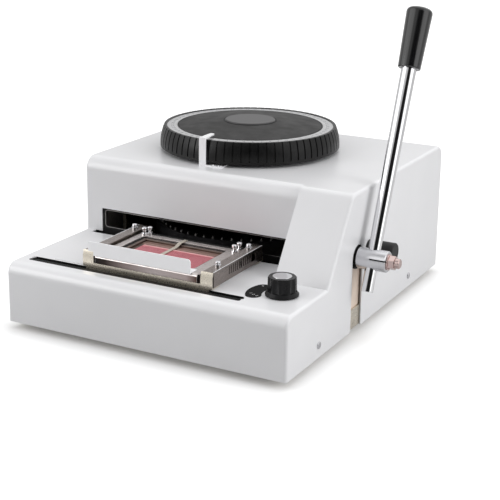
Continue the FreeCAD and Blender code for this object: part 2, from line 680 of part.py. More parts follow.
def casing_shell():
    shell = casing_form(0.0, 0.0).cut(casing_form(SHEET, -CUT_OVER))
    under_deck = DECK_HEIGHT - SHEET - CUT_OVER
    over_deck = DECK_HEIGHT + CUT_OVER
    tools = [
        box(
            BAY_LEFT_X,
            BAY_RIGHT_X,
            TOWER_FRONT_Y - CUT_OVER,
            TOWER_FRONT_Y + SHEET + CUT_OVER,
            DECK_HEIGHT,
            BAY_TOP_Z,
        ),
        box(
            FRONT_SLOT_LEFT_X,
            BAY_RIGHT_X,
            TOWER_FRONT_Y - REAR_SLOT_WIDTH,
            TOWER_FRONT_Y + SHEET + CUT_OVER,
            under_deck,
            DECK_HEIGHT,
        ),
        rounded_block_z(
            FRONT_SLOT_LEFT_X,
            FRONT_SLOT_RIGHT_X,
            FRONT_SLOT_Y - FRONT_SLOT_WIDTH / 2,
            FRONT_SLOT_Y + FRONT_SLOT_WIDTH / 2,
            under_deck,
            over_deck,
            FRONT_SLOT_CORNER,
        ),
        box(
            CASING_WIDTH - SHEET - CUT_OVER,
            CASING_WIDTH + CUT_OVER,
            LEVER_Y - SIDE_SLOT_RADIUS,
            LEVER_Y + SIDE_SLOT_RADIUS,
            -CUT_OVER,
            LEVER_Z,
        ),
        through_right_wall(LEVER_Y, LEVER_Z, SIDE_SLOT_RADIUS),
        through_right_wall(STOP_Y, STOP_Z, STOP_STUD_RADIUS),
        through_top(DIAL_X, DIAL_Y, SPINDLE_RADIUS + SPINDLE_HOLE_GAP),
        bar_z(under_deck, over_deck, KNOB_X, KNOB_Y, KNOB_STEM_RADIUS + KNOB_STEM_GAP),
    ]
    for x in POINTER_SCREW_X:
        tools.append(through_top(x, POINTER_SCREW_Y, POINTER_SCREW_RADIUS))
    for y in (SIDE_SCREW_FRONT_Y, SIDE_SCREW_REAR_Y):
        hole = SIDE_SCREW_RADIUS + SCREW_HOLE_GAP
        tools.append(bar_x(-CUT_OVER, SHEET + CUT_OVER, y, SIDE_SCREW_Z, hole))
        tools.append(through_right_wall(y, SIDE_SCREW_Z, hole))
    return shell.cut(tools)


def foot_places():
    return [
        (x, y)
        for x in (FOOT_INSET_X, CASING_WIDTH - FOOT_INSET_X)
        for y in (FOOT_FRONT_Y, FOOT_REAR_Y)
    ]


def base_plate():
    x0 = BASE_EDGE
    x1 = CASING_WIDTH - BASE_EDGE
    y0 = BASE_EDGE
    y1 = CASING_DEPTH - BASE_EDGE
    tray = rounded_block_z(x0, x1, y0, y1, BASE_BOTTOM_Z, FLANGE_TOP_Z, BASE_CORNER_RADIUS)
    over = FLANGE_TOP_Z + CUT_OVER
    tools = [
        box(x0 + FLANGE_THICK, x1 - FLANGE_THICK, y0 - CUT_OVER, y1 + CUT_OVER, BASE_TOP_Z, over),
        box(x0 - CUT_OVER, x1 + CUT_OVER, y0 - CUT_OVER, y0 + BASE_CORNER_RADIUS, BASE_TOP_Z, over),
        box(x0 - CUT_OVER, x1 + CUT_OVER, y1 - BASE_CORNER_RADIUS, y1 + CUT_OVER, BASE_TOP_Z, over),
    ]
    for x, y in foot_places():
        tools.append(bar_z(0, BASE_TOP_Z + CUT_OVER, x, y, FOOT_STUD_RADIUS))
    for y in (SIDE_SCREW_FRONT_Y, SIDE_SCREW_REAR_Y):
        tools.append(bar_x(-CUT_OVER, CASING_WIDTH + CUT_OVER, y, SIDE_SCREW_Z, SIDE_SCREW_RADIUS))
    return tray.cut(tools)


def rubber_feet():
    feet = []
    for x, y in foot_places():
        cone = turned(
            [
                (0, -FOOT_HEIGHT),
                (FOOT_BOTTOM_RADIUS, -FOOT_HEIGHT),
                (FOOT_TOP_RADIUS, 0),
                (FOOT_TOP_RADIUS, BASE_BOTTOM_Z),
                (FOOT_STUD_RADIUS, BASE_BOTTOM_Z),
                (FOOT_STUD_RADIUS, BASE_TOP_Z),
                (0, BASE_TOP_Z),
            ],
            x,
            y,
        )
        feet.append(cone)
    return Part.makeCompound(feet)


def side_screws():
    screws = []
    for y in (SIDE_SCREW_FRONT_Y, SIDE_SCREW_REAR_Y):
        for wall_x, outward in ((0.0, -1), (CASING_WIDTH, 1)):
            inward = Vector(-outward, 0, 0)
            start = Vector(wall_x, y, SIDE_SCREW_Z)
            head = Part.makeCylinder(SIDE_SCREW_HEAD_RADIUS, SIDE_SCREW_HEAD_HEIGHT, start, inward * -1)
            head = head.makeFillet(SIDE_SCREW_HEAD_ROUND, [outer_circle(head, wall_x)])
            shank = Part.makeCylinder(SIDE_SCREW_RADIUS, SIDE_SCREW_LENGTH, start, inward)
            screws.append(head.fuse(shank))
    return Part.makeCompound(screws)


def outer_circle(solid, wall_x):
    """The round edge of a screw head that is farthest from the wall."""
    rings = [edge for edge in solid.Edges if edge.Closed]
    return max(rings, key=lambda edge: abs(edge.BoundBox.XMin - wall_x))


def frame_plate(x0, front_y, holes):
    plate = box(x0, x0 + PLATE_THICK, front_y, PLATE_REAR_Y, BASE_TOP_Z, FRAME_TOP_Z)
    if holes:
        plate = plate.cut(holes)
    return plate


def spacer_places():
    return [
        (SPACER_Y_FRONT, SPACER_Z_LOW),
        (SPACER_Y_FRONT, SPACER_Z_HIGH),
        (SPACER_Y_REAR, SPACER_Z_LOW),
        (SPACER_Y_REAR, SPACER_Z_HIGH),
    ]


def right_frame_plate():
    x0 = RIGHT_PLATE_X - CUT_OVER
    x1 = RIGHT_PLATE_X + PLATE_THICK + CUT_OVER
    holes = [
        bar_x(x0, x1, LEVER_Y, LEVER_Z, BUSH_RADIUS),
        bar_x(x0, x1, STOP_Y, STOP_Z, STOP_STUD_RADIUS),
    ]
    return frame_plate(RIGHT_PLATE_X, PLATE_FRONT_Y, holes)


def inner_frame_plate():
    x0 = INNER_PLATE_X - CUT_OVER
    x1 = INNER_PLATE_X + PLATE_THICK + CUT_OVER
    y0 = ARM_Y - ARM_HALF_WIDTH - ARM_WINDOW_GAP
    y1 = ARM_Y + ARM_HALF_WIDTH + ARM_WINDOW_GAP
    half = ARM_HALF_HEIGHT + ARM_SWING_ROOM
    holes = [
        bar_x(x0, x1, LEVER_Y, LEVER_Z, BUSH_RADIUS),
        box(x0, x1, y0, y1, UPPER_PIVOT_Z - half, FRAME_TOP_Z + CUT_OVER),
        box(x0, x1, y0, y1, LOWER_PIVOT_Z - half, LOWER_PIVOT_Z + half),
    ]
    return frame_plate(INNER_PLATE_X, PLATE_FRONT_Y, holes)


def left_frame_plate():
    return frame_plate(LEFT_PLATE_X, LEFT_PLATE_FRONT_Y, [])


def top_plate():
    plate = box(
        LEFT_PLATE_X,
        RIGHT_PLATE_X + PLATE_THICK,
        LEFT_PLATE_FRONT_Y,
        PLATE_REAR_Y,
        FRAME_TOP_Z,
        TOP_PLATE_TOP_Z,
    )
    bore = bar_z(FRAME_TOP_Z - CUT_OVER, TOP_PLATE_TOP_Z + CUT_OVER, DIAL_X, DIAL_Y, SPINDLE_BUSH_RADIUS)
    return plate.cut(bore)


def frame_spacers():
    x0 = INNER_PLATE_X + PLATE_THICK
    return Part.makeCompound([bar_x(x0, RIGHT_PLATE_X, y, z, SPACER_RADIUS) for y, z in spacer_places()])


def spindle_bearings():
    bore = SPINDLE_RADIUS + RUNNING_FIT
    lower_z = SPINDLE_BUSH_LOWER_Z
    lower = turned(
        [
            (bore, lower_z),
            (SPINDLE_BUSH_FLANGE_RADIUS, lower_z),
            (SPINDLE_BUSH_FLANGE_RADIUS, lower_z + SPINDLE_BUSH_FLANGE),
            (SPINDLE_BUSH_RADIUS, lower_z + SPINDLE_BUSH_FLANGE),
            (SPINDLE_BUSH_RADIUS, lower_z + SPINDLE_BUSH_LENGTH),
            (bore, lower_z + SPINDLE_BUSH_LENGTH),
        ],
        DIAL_X,
        DIAL_Y,
    )
    upper_z = TOP_PLATE_TOP_Z + SPINDLE_BUSH_FLANGE
    upper = turned(
        [
            (bore, upper_z),
            (SPINDLE_BUSH_FLANGE_RADIUS, upper_z),
            (SPINDLE_BUSH_FLANGE_RADIUS, upper_z - SPINDLE_BUSH_FLANGE),
            (SPINDLE_BUSH_RADIUS, upper_z - SPINDLE_BUSH_FLANGE),
            (SPINDLE_BUSH_RADIUS, upper_z - SPINDLE_BUSH_LENGTH),
            (bore, upper_z - SPINDLE_BUSH_LENGTH),
        ],
        DIAL_X,
        DIAL_Y,
    )
    return Part.makeCompound([lower, upper])


def shaft_bush(plate_x, outward):
    """A flanged bush in a frame plate, its flange on the side that outward points to."""
    face_x = plate_x + PLATE_THICK if outward > 0 else plate_x
    other_x = plate_x if outward > 0 else plate_x + PLATE_THICK
    body = bar_x(min(face_x, other_x), max(face_x, other_x), LEVER_Y, LEVER_Z, BUSH_RADIUS)
    flange = Part.makeCylinder(
        BUSH_FLANGE_RADIUS, BUSH_FLANGE, Vector(face_x, LEVER_Y, LEVER_Z), Vector(outward, 0, 0)
    )
    reach = BUSH_FLANGE + CUT_OVER
    bore_radius = SHAFT_RADIUS + RUNNING_FIT
    bore = bar_x(plate_x - reach, plate_x + PLATE_THICK + reach, LEVER_Y, LEVER_Z, bore_radius)
    return body.fuse(flange).cut(bore)


def shaft_bearings():
    return Part.makeCompound([shaft_bush(INNER_PLATE_X, -1), shaft_bush(RIGHT_PLATE_X, 1)])


def arm_edges_y():
    """The front and rear faces of the press arms."""
    return ARM_Y - ARM_HALF_WIDTH, ARM_Y + ARM_HALF_WIDTH


def pivot_lugs():
    arm_front, arm_rear = arm_edges_y()
    lugs = []
    for pivot_z in (UPPER_PIVOT_Z, LOWER_PIVOT_Z):
        z0 = pivot_z - LUG_HALF_HEIGHT
        z1 = pivot_z + LUG_HALF_HEIGHT
        x0 = INNER_PLATE_X - LUG_REACH
        for inner_y, outward in ((arm_front - LUG_GAP, -1), (arm_rear + LUG_GAP, 1)):
            ear_y = sorted((inner_y, inner_y + outward * LUG_THICK))
            foot_y = sorted((inner_y, inner_y + outward * LUG_FOOT_WIDTH))
            outline = [
                (x0, z0, LUG_FOOT),
                (INNER_PLATE_X, z0, 0),
                (INNER_PLATE_X, z1, 0),
                (x0, z1, LUG_FOOT),
            ]
            ear = prism_y(outline, ear_y[0], ear_y[1])
            foot = box(INNER_PLATE_X - LUG_FOOT, INNER_PLATE_X, foot_y[0], foot_y[1], z0, z1)
            hole = bar_y(ear_y[0] - CUT_OVER, ear_y[1] + CUT_OVER, ARM_PIVOT_X, pivot_z, PIVOT_PIN_RADIUS)
            lugs.append(ear.fuse(foot).cut(hole).removeSplitter())
    return Part.makeCompound(lugs)


def pivot_pins():
    arm_front, arm_rear = arm_edges_y()
    y0 = arm_front - LUG_GAP - LUG_THICK
    y1 = arm_rear + LUG_GAP + LUG_THICK
    return Part.makeCompound(
        [bar_y(y0, y1, ARM_PIVOT_X, z, PIVOT_PIN_RADIUS) for z in (UPPER_PIVOT_Z, LOWER_PIVOT_Z)]
    )


def tangent_arc(start, corner, end):
    """The arc from start to end whose end tangents meet at corner."""
    arrive = (corner - start).normalize()
    leave = (end - corner).normalize()
    half_turn = arrive.getAngle(leave) / 2
    radius = (corner - start).Length / math.tan(half_turn)
    inward = (leave - arrive).normalize()
    middle = corner + inward * (radius / math.cos(half_turn) - radius)
    return Part.Arc(start, middle, end).toShape()


def coil_point(quarter):
    """A point on the spring's centre line after some quarter turns, and its direction there."""
    angle = math.pi / 2 * quarter
    across = Vector(0, math.cos(angle), math.sin(angle)) * SPRING_COIL_RADIUS
    along = Vector(0, -math.sin(angle), math.cos(angle)) * SPRING_COIL_RADIUS
    centre = Vector(SPRING_START_X + SPRING_PITCH * quarter / 4, LEVER_Y, LEVER_Z)
    return centre + across, (along + Vector(SPRING_PITCH / (2 * math.pi), 0, 0)).normalize()


def return_spring():
    arcs = []
    for quarter in range(4 * SPRING_TURNS):
        start, leave = coil_point(quarter)
        end, arrive = coil_point(quarter + 1)
        across = end - start
        turn = 2 * (1 - leave.dot(arrive))
        slope = across.dot(leave + arrive)
        reach = (math.sqrt(slope * slope + turn * across.dot(across)) - slope) / turn
        first = start + leave * reach
        second = end - arrive * reach
        joint = (first + second) / 2
        arcs.append(tangent_arc(start, first, joint))
        arcs.append(tangent_arc(joint, second, end))
    start, leave = coil_point(0)
    section = Part.Wire(Part.makeCircle(SPRING_WIRE_RADIUS, start, leave))
    return Part.Wire(arcs).makePipeShell([section], True)


def stop_bumper():
    rubber = bar_x(CASING_WIDTH, CASING_WIDTH + STOP_LENGTH, STOP_Y, STOP_Z, STOP_RADIUS)
    rubber = rubber.makeChamfer(STOP_EDGE, [outer_circle(rubber, CASING_WIDTH)])
    stud = bar_x(RIGHT_PLATE_X, CASING_WIDTH, STOP_Y, STOP_Z, STOP_STUD_RADIUS)
    return rubber.fuse(stud)


def rail_blocks():
    blocks = []
    for y in (FRONT_RAIL_Y, REAR_RAIL_Y):
        for x0 in (RAIL_LEFT_X, RAIL_RIGHT_X - RAIL_BLOCK_WIDTH):
            block = box(
                x0,
                x0 + RAIL_BLOCK_WIDTH,
                y - RAIL_BLOCK_HALF_DEPTH,
                y + RAIL_BLOCK_HALF_DEPTH,
                BASE_TOP_Z,
                RAIL_BLOCK_TOP_Z,
            )
            bore = bar_x(x0 - CUT_OVER, x0 + RAIL_BLOCK_WIDTH + CUT_OVER, y, RAIL_Z, RAIL_RADIUS)
            blocks.append(block.cut(bore))
    return Part.makeCompound(blocks)


def carriage_rails():
    return Part.makeCompound(
        [bar_x(RAIL_LEFT_X, RAIL_RIGHT_X, y, RAIL_Z, RAIL_RADIUS) for y in (FRONT_RAIL_Y, REAR_RAIL_Y)]
    )


def deck_plate():
    return rounded_block_z(
        DECK_PLATE_LEFT_X,
        DECK_PLATE_RIGHT_X,
        DECK_PLATE_FRONT_Y,
        DECK_PLATE_REAR_Y,
        DECK_HEIGHT,
        DECK_HEIGHT + DECK_PLATE_THICK,
        DECK_PLATE_CORNER,
    )


def shroud_panel():
    y0 = TOWER_FRONT_Y + SHEET
    panel = box(SHROUD_LEFT_X, SHROUD_RIGHT_X, y0, y0 + SHROUD_THICK, SHROUD_BOTTOM_Z, SHROUD_TOP_Z)
    window = prism_y(
        [
            (SHROUD_WINDOW_LEFT_X, SHROUD_WINDOW_BOTTOM_Z, SHROUD_WINDOW_CORNER),
            (SHROUD_WINDOW_RIGHT_X, SHROUD_WINDOW_BOTTOM_Z, SHROUD_WINDOW_CORNER),
            (SHROUD_WINDOW_RIGHT_X, SHROUD_WINDOW_TOP_Z, SHROUD_WINDOW_CORNER),
            (SHROUD_WINDOW_LEFT_X, SHROUD_WINDOW_TOP_Z, SHROUD_WINDOW_CORNER),
        ],
        y0 - CUT_OVER,
        y0 + SHROUD_THICK + CUT_OVER,
    )
    return panel.cut(window)


def knob_label():
    inner = LABEL_MEAN_RADIUS - LABEL_HALF_WIDTH
    outer = LABEL_MEAN_RADIUS + LABEL_HALF_WIDTH
    centre = Vector(KNOB_X, KNOB_Y, DECK_HEIGHT)

    def at(radius, degrees):
        angle = math.radians(degrees)
        return centre + Vector(radius * math.cos(angle), radius * math.sin(angle), 0)

    end_turn = math.degrees(LABEL_HALF_WIDTH / LABEL_MEAN_RADIUS)
    middle = (LABEL_START + LABEL_END) / 2
    edges = [
        Part.Arc(at(outer, LABEL_START), at(outer, middle), at(outer, LABEL_END)).toShape(),
        Part.Arc(
            at(outer, LABEL_END), at(LABEL_MEAN_RADIUS, LABEL_END + end_turn), at(inner, LABEL_END)
        ).toShape(),
        Part.Arc(at(inner, LABEL_END), at(inner, middle), at(inner, LABEL_START)).toShape(),
        Part.Arc(
            at(inner, LABEL_START), at(LABEL_MEAN_RADIUS, LABEL_START - end_turn), at(outer, LABEL_START)
        ).toShape(),
    ]
    label = Part.Face(Part.Wire(edges)).extrude(Vector(0, 0, LABEL_THICK))
    return label


def pointer_bracket():
    x0 = POINTER_LEFT_X
    x1 = POINTER_LEFT_X + POINTER_WIDTH
    y0 = POINTER_FRONT_Y
    arm_z = POINTER_ARM_TOP_Z - POINTER_THICK
    foot = box(x0, POINTER_FOOT_RIGHT_X, y0, POINTER_FOOT_REAR_Y, TOWER_HEIGHT, TOWER_HEIGHT + POINTER_THICK)
    strip = box(x0, x1, y0, y0 + POINTER_THICK, TOWER_HEIGHT, POINTER_ARM_TOP_Z)
    tip_x = (x0 + x1) / 2 - POINTER_TIP_LEFT
    arm = prism_z(
        [
            (x0, y0, 0),
            (x1, y0, 0),
            (tip_x + POINTER_TIP_WIDTH / 2, POINTER_TIP_Y, POINTER_TIP_ROUND),
            (tip_x - POINTER_TIP_WIDTH / 2, POINTER_TIP_Y, POINTER_TIP_ROUND),
        ],
        arm_z,
        POINTER_ARM_TOP_Z,
    )
    under = TOWER_HEIGHT - CUT_OVER
    over = TOWER_HEIGHT + POINTER_THICK + CUT_OVER
    holes = [bar_z(under, over, x, POINTER_SCREW_Y, POINTER_SCREW_RADIUS) for x in POINTER_SCREW_X]
    return foot.fuse([strip, arm]).cut(holes).removeSplitter()


def pointer_screws():
    seat = TOWER_HEIGHT + POINTER_THICK
    screws = []
    for x in POINTER_SCREW_X:
        head = bar_z(seat, seat + POINTER_SCREW_HEAD_HEIGHT, x, POINTER_SCREW_Y, POINTER_SCREW_HEAD_RADIUS)
        shank = bar_z(seat - POINTER_SCREW_LENGTH, seat, x, POINTER_SCREW_Y, POINTER_SCREW_RADIUS)
        screws.append(head.fuse(shank))
    return Part.makeCompound(screws)


def detent_nose_place():
    return DIAL_X + DETENT_WHEEL_RADIUS + DETENT_NOSE_OUT, DIAL_Y


def detent_arm_z():
    """The underside of the detent arm, just above the notched wheel."""
    return DETENT_WHEEL_BOTTOM_Z + DETENT_WHEEL_THICK + DETENT_ARM_LIFT


def detent_post():
    arm_z = detent_arm_z()
    post = bar_z(BASE_TOP_Z, arm_z - DETENT_GAP, DETENT_PIVOT_X, DETENT_PIVOT_Y, DETENT_POST_RADIUS)
    pin_top = arm_z + DETENT_ARM_THICK + DETENT_POST_RADIUS
    pin = bar_z(BASE_TOP_Z, pin_top, DETENT_PIVOT_X, DETENT_PIVOT_Y, DETENT_PIN_RADIUS)
    return post.fuse(pin).removeSplitter()


def detent_arm():
    nose_x, nose_y = detent_nose_place()
    z0 = detent_arm_z()
    z1 = z0 + DETENT_ARM_THICK
    start = Vector(DETENT_PIVOT_X, DETENT_PIVOT_Y, 0)
    end = Vector(nose_x, nose_y, 0)
    along = (end - start).normalize()
    across = Vector(-along.y, along.x, 0) * DETENT_ARM_HALF_WIDTH
    corners = [start + across, end + across, end - across, start - across]
    plate = prism_z([(corner.x, corner.y, 0) for corner in corners], z0, z1)
    plate = plate.fuse(
        [
            bar_z(z0, z1, DETENT_PIVOT_X, DETENT_PIVOT_Y, DETENT_ARM_HALF_WIDTH),
            bar_z(z0, z1, nose_x, nose_y, DETENT_ARM_HALF_WIDTH),
            bar_z(DETENT_WHEEL_BOTTOM_Z, z1, nose_x, nose_y, DETENT_NOSE_RADIUS),
        ]
    )
    bore_radius = DETENT_PIN_RADIUS + RUNNING_FIT
    bore = bar_z(z0 - CUT_OVER, z1 + CUT_OVER, DETENT_PIVOT_X, DETENT_PIVOT_Y, bore_radius)
    return plate.cut(bore).removeSplitter()


def detent_wheel():
    z0 = DETENT_WHEEL_BOTTOM_Z
    z1 = z0 + DETENT_WHEEL_THICK
    wheel = bar_z(z0, z1, DIAL_X, DIAL_Y, DETENT_WHEEL_RADIUS)
    hub = bar_z(z0, LOWER_WHEEL_BOTTOM_Z - HUB_LENGTH_OUT, DIAL_X, DIAL_Y, WHEEL_HUB_RADIUS)
    notch_circle = DETENT_WHEEL_RADIUS + DETENT_NOSE_OUT
    cutters = [
        bar_z(z0 - CUT_OVER, z1 + CUT_OVER, x, y, DETENT_NOSE_RADIUS + DETENT_GAP)
        for x, y in on_circle(PUNCH_COUNT, notch_circle, DIAL_X, DIAL_Y)
    ]
    cutters.append(bar_z(z0 - CUT_OVER, LOWER_WHEEL_BOTTOM_Z, DIAL_X, DIAL_Y, SPINDLE_RADIUS))
    return wheel.fuse(hub).cut(cutters).removeSplitter()


def type_wheel(bottom_z, top_z, hub_bottom_z, hub_top_z):
    """A rim, a thin web and a hub, drilled all round the rim for its punches."""
    inner = WHEEL_RADIUS - RIM_WIDTH
    web_z = (bottom_z + top_z - WEB_THICK) / 2
    wheel = turned(
        [
            (SPINDLE_RADIUS, hub_bottom_z),
            (WHEEL_HUB_RADIUS, hub_bottom_z),
            (WHEEL_HUB_RADIUS, web_z),
            (inner, web_z),
            (inner, bottom_z),
            (WHEEL_RADIUS, bottom_z),
            (WHEEL_RADIUS, top_z),
            (inner, top_z),
            (inner, web_z + WEB_THICK),
            (WHEEL_HUB_RADIUS, web_z + WEB_THICK),
            (WHEEL_HUB_RADIUS, hub_top_z),
            (SPINDLE_RADIUS, hub_top_z),
        ],
        DIAL_X,
        DIAL_Y,
    )
    holes = [
        bar_z(bottom_z - CUT_OVER, top_z + CUT_OVER, x, y, PUNCH_RADIUS)
        for x, y in on_circle(PUNCH_COUNT, PUNCH_CIRCLE_RADIUS, DIAL_X, DIAL_Y)
    ]
    return wheel.cut(holes)


def lower_type_wheel():
    return type_wheel(
        LOWER_WHEEL_BOTTOM_Z, LOWER_WHEEL_TOP_Z, LOWER_WHEEL_BOTTOM_Z - HUB_LENGTH_OUT, LOWER_WHEEL_TOP_Z
    )


def upper_type_wheel():
    return type_wheel(
        UPPER_WHEEL_BOTTOM_Z, UPPER_WHEEL_TOP_Z, UPPER_WHEEL_BOTTOM_Z, UPPER_WHEEL_TOP_Z + HUB_LENGTH_OUT
    )


def punches(tip_z, far_z):
    """One ring of punches between their tips and their far ends."""
    shoulder_z = tip_z + math.copysign(PUNCH_TIP_LENGTH, far_z - tip_z)
    pieces = []
    for x, y in on_circle(PUNCH_COUNT, PUNCH_CIRCLE_RADIUS, DIAL_X, DIAL_Y):
        shank = bar_z(min(shoulder_z, far_z), max(shoulder_z, far_z), x, y, PUNCH_RADIUS)
        tip = bar_z(min(shoulder_z, tip_z), max(shoulder_z, tip_z), x, y, PUNCH_TIP_RADIUS)
        pieces.append(shank.fuse(tip))
    return Part.makeCompound(pieces)


def skirt_arc(inset):
    """The crowned upper part of the skirt's outline, from its rim to its top edge, moved in by inset."""
    low = Vector(DIAL_X + SKIRT_RADIUS - inset, DIAL_Y, SKIRT_BOTTOM_Z + SKIRT_RIM_HEIGHT)
    high = Vector(DIAL_X + SKIRT_TOP_RADIUS - inset, DIAL_Y, SKIRT_TOP_Z)
    along = high - low
    outward = Vector(along.z, 0, -along.x).normalize()
    return low, (low + high) / 2 + outward * SKIRT_CROWN, high


def dial_skirt():
    low, crown, high = skirt_arc(0)
    corners = [
        (LIP_INNER_RADIUS, SKIRT_TOP_Z),
        (LIP_INNER_RADIUS, RING_TOP_Z - RING_THICK),
        (SPINDLE_RADIUS, RING_TOP_Z - RING_THICK),
        (SPINDLE_RADIUS, SKIRT_WEB_BOTTOM_Z - SPINDLE_RADIUS),
        (DIAL_HUB_RADIUS, SKIRT_WEB_BOTTOM_Z - SPINDLE_RADIUS),
        (DIAL_HUB_RADIUS, SKIRT_WEB_BOTTOM_Z),
        (SKIRT_TOP_RADIUS - SKIRT_WALL, SKIRT_WEB_BOTTOM_Z),
        (SKIRT_RADIUS - SKIRT_WALL, SKIRT_BOTTOM_Z),
        (SKIRT_RADIUS, SKIRT_BOTTOM_Z),
    ]
    points = [high] + [Vector(DIAL_X + radius, DIAL_Y, z) for radius, z in corners] + [low]
    edges = [Part.Arc(low, crown, high).toShape()]
    for start, end in zip(points[:-1], points[1:]):
        edges.append(Part.LineSegment(start, end).toShape())
    centre = Vector(DIAL_X, DIAL_Y, 0)
    skirt = Part.Face(Part.Wire(edges)).revolve(centre, Vector(0, 0, 1), 360)
    low, crown, high = skirt_arc(FLUTE_DEPTH)
    out_x = DIAL_X + SKIRT_RADIUS + CUT_OVER
    top_z = SKIRT_TOP_Z + CUT_OVER
    points = [
        high,
        Vector(high.x, DIAL_Y, top_z),
        Vector(out_x, DIAL_Y, top_z),
        Vector(out_x, DIAL_Y, low.z),
        low,
    ]
    edges = [Part.Arc(low, crown, high).toShape()]
    for start, end in zip(points[:-1], points[1:]):
        edges.append(Part.LineSegment(start, end).toShape())
    flute = Part.Face(Part.Wire(edges)).extrude(Vector(0, FLUTE_WIDTH, 0))
    flute.translate(Vector(0, -FLUTE_WIDTH / 2, 0))
    cutters = []
    for index in range(FLUTE_COUNT):
        cutter = flute.copy()
        turn = -90 + FLUTE_START_DEGREES + 360.0 * index / FLUTE_COUNT
        cutter.rotate(centre, Vector(0, 0, 1), turn)
        cutters.append(cutter)
    return skirt.cut(cutters)


def dial_ring():
    return ring_z(RING_TOP_Z - RING_THICK, RING_TOP_Z, DIAL_X, DIAL_Y, LIP_INNER_RADIUS, RING_INNER_RADIUS)


def dial_face():
    seat = RING_TOP_Z - RING_THICK
    return turned(
        [
            (FACE_INNER_RADIUS, seat),
            (RING_INNER_RADIUS, seat),
            (RING_INNER_RADIUS, RING_TOP_Z),
            (FACE_INNER_RADIUS, FACE_TOP_Z),
        ],
        DIAL_X,
        DIAL_Y,
    )


def dial_disc():
    return turned(
        [
            (0, RING_TOP_Z - RING_THICK),
            (FACE_INNER_RADIUS, RING_TOP_Z - RING_THICK),
            (FACE_INNER_RADIUS, DISC_TOP_Z - DISC_EDGE),
            (FACE_INNER_RADIUS - DISC_EDGE, DISC_TOP_Z),
            (0, DISC_TOP_Z),
        ],
        DIAL_X,
        DIAL_Y,
    )


def spindle():
    return bar_z(SPINDLE_BOTTOM_Z, SPINDLE_TOP_Z, DIAL_X, DIAL_Y, SPINDLE_RADIUS)


def lever_direction():
    lean = math.radians(LEVER_LEAN)
    return Vector(0, math.sin(lean), math.cos(lean))


def on_lever(distance):
    """A point on the lever rod's centre line, at a distance from the shaft."""
    return Vector(ROD_X, LEVER_Y, LEVER_Z) + lever_direction() * distance


def lever_rod():
    return Part.makeCone(
        ROD_TAIL_RADIUS, ROD_TOP_RADIUS, ROD_END + ROD_TAIL, on_lever(-ROD_TAIL), lever_direction()
    )


def lever_grip():
    height = GRIP_END - GRIP_START
    corners = [
        (Vector(0, 0, 0), 0),
        (Vector(GRIP_LOW_RADIUS, 0, 0), GRIP_LOW_ROUND),
        (Vector(GRIP_HIGH_RADIUS, 0, height), GRIP_TOP_ROUND),
        (Vector(0, 0, height), 0),
    ]
    grip = Part.Face(rounded_wire(corners)).revolve(Vector(0, 0, 0), Vector(0, 0, 1), 360)
    grip.rotate(Vector(0, 0, 0), Vector(1, 0, 0), -LEVER_LEAN)
    grip.translate(on_lever(GRIP_START))
    return grip.cut(lever_rod())


def lever_shaft():
    return bar_x(SHAFT_LEFT_X, SHAFT_RIGHT_X, LEVER_Y, LEVER_Z, SHAFT_RADIUS)


def lever_hub():
    hub = bar_x(HUB_START_X + COLLAR_THICK, HUB_END_X, LEVER_Y, LEVER_Z, HUB_RADIUS)
    hub = hub.makeChamfer(HUB_EDGE, [outer_circle(hub, CASING_WIDTH)])
    slit = box(
        ROD_X,
        HUB_END_X + CUT_OVER,
        LEVER_Y - HUB_RADIUS - CUT_OVER,
        LEVER_Y,
        LEVER_Z - CLAMP_SLIT / 2,
        LEVER_Z + CLAMP_SLIT / 2,
    )
    slit.rotate(Vector(0, LEVER_Y, LEVER_Z), Vector(1, 0, 0), -CLAMP_SLIT_ANGLE)
    tools = [
        lever_rod(),
        lever_shaft(),
        bar_x(ROD_X, HUB_END_X + CUT_OVER, LEVER_Y, LEVER_Z, BOLT_RADIUS),
        slit,
    ]
    return hub.cut(tools)


def lever_collar():
    collar = bar_x(HUB_START_X, HUB_START_X + COLLAR_THICK, LEVER_Y, LEVER_Z, COLLAR_RADIUS)
    return collar.cut(lever_shaft())


def lever_bolt():
    head_x = HUB_END_X + BOLT_COLLAR_THICK
    nut_x = head_x + BOLT_HEAD_HEIGHT
    half_side = math.pi / HEX_SIDES
    corner = BOLT_HEAD_ACROSS / 2 / math.cos(half_side)
    points = []
    for index in range(HEX_SIDES):
        angle = half_side * (2 * index + 1)
        points.append((LEVER_Y + corner * math.cos(angle), LEVER_Z + corner * math.sin(angle), 0))
    head = prism_x(points, head_x, nut_x)
    collar = bar_x(HUB_END_X, head_x, LEVER_Y, LEVER_Z, BOLT_COLLAR_RADIUS)
    tip = bar_x(nut_x, BOLT_END_X, LEVER_Y, LEVER_Z, BOLT_TIP_RADIUS)
    tip = tip.makeChamfer(BOLT_TIP_EDGE, [outer_circle(tip, CASING_WIDTH)])
    shank = bar_x(ROD_X, HUB_END_X, LEVER_Y, LEVER_Z, BOLT_RADIUS).cut(lever_rod())
    return head.fuse([collar, tip, shank]).removeSplitter()


def cam_radius(degrees):
    """The cam's radius at an angle from the top towards the rear; both lobes are alike."""
    low = -LEVER_BACK_DEGREES - CAM_MARGIN_DEGREES
    high = LEVER_STROKE_DEGREES + CAM_MARGIN_DEGREES
    turn = (degrees - low) % 180.0
    rising = high - low
    if turn <= rising:
        return CAM_RADIUS + CAM_RISE_PER_DEGREE * (low + turn)
    back = (turn - rising) / (180.0 - rising)
    drop = CAM_RISE_PER_DEGREE * rising * (1 - math.cos(math.pi * back)) / 2
    return CAM_RADIUS + CAM_RISE_PER_DEGREE * high - drop


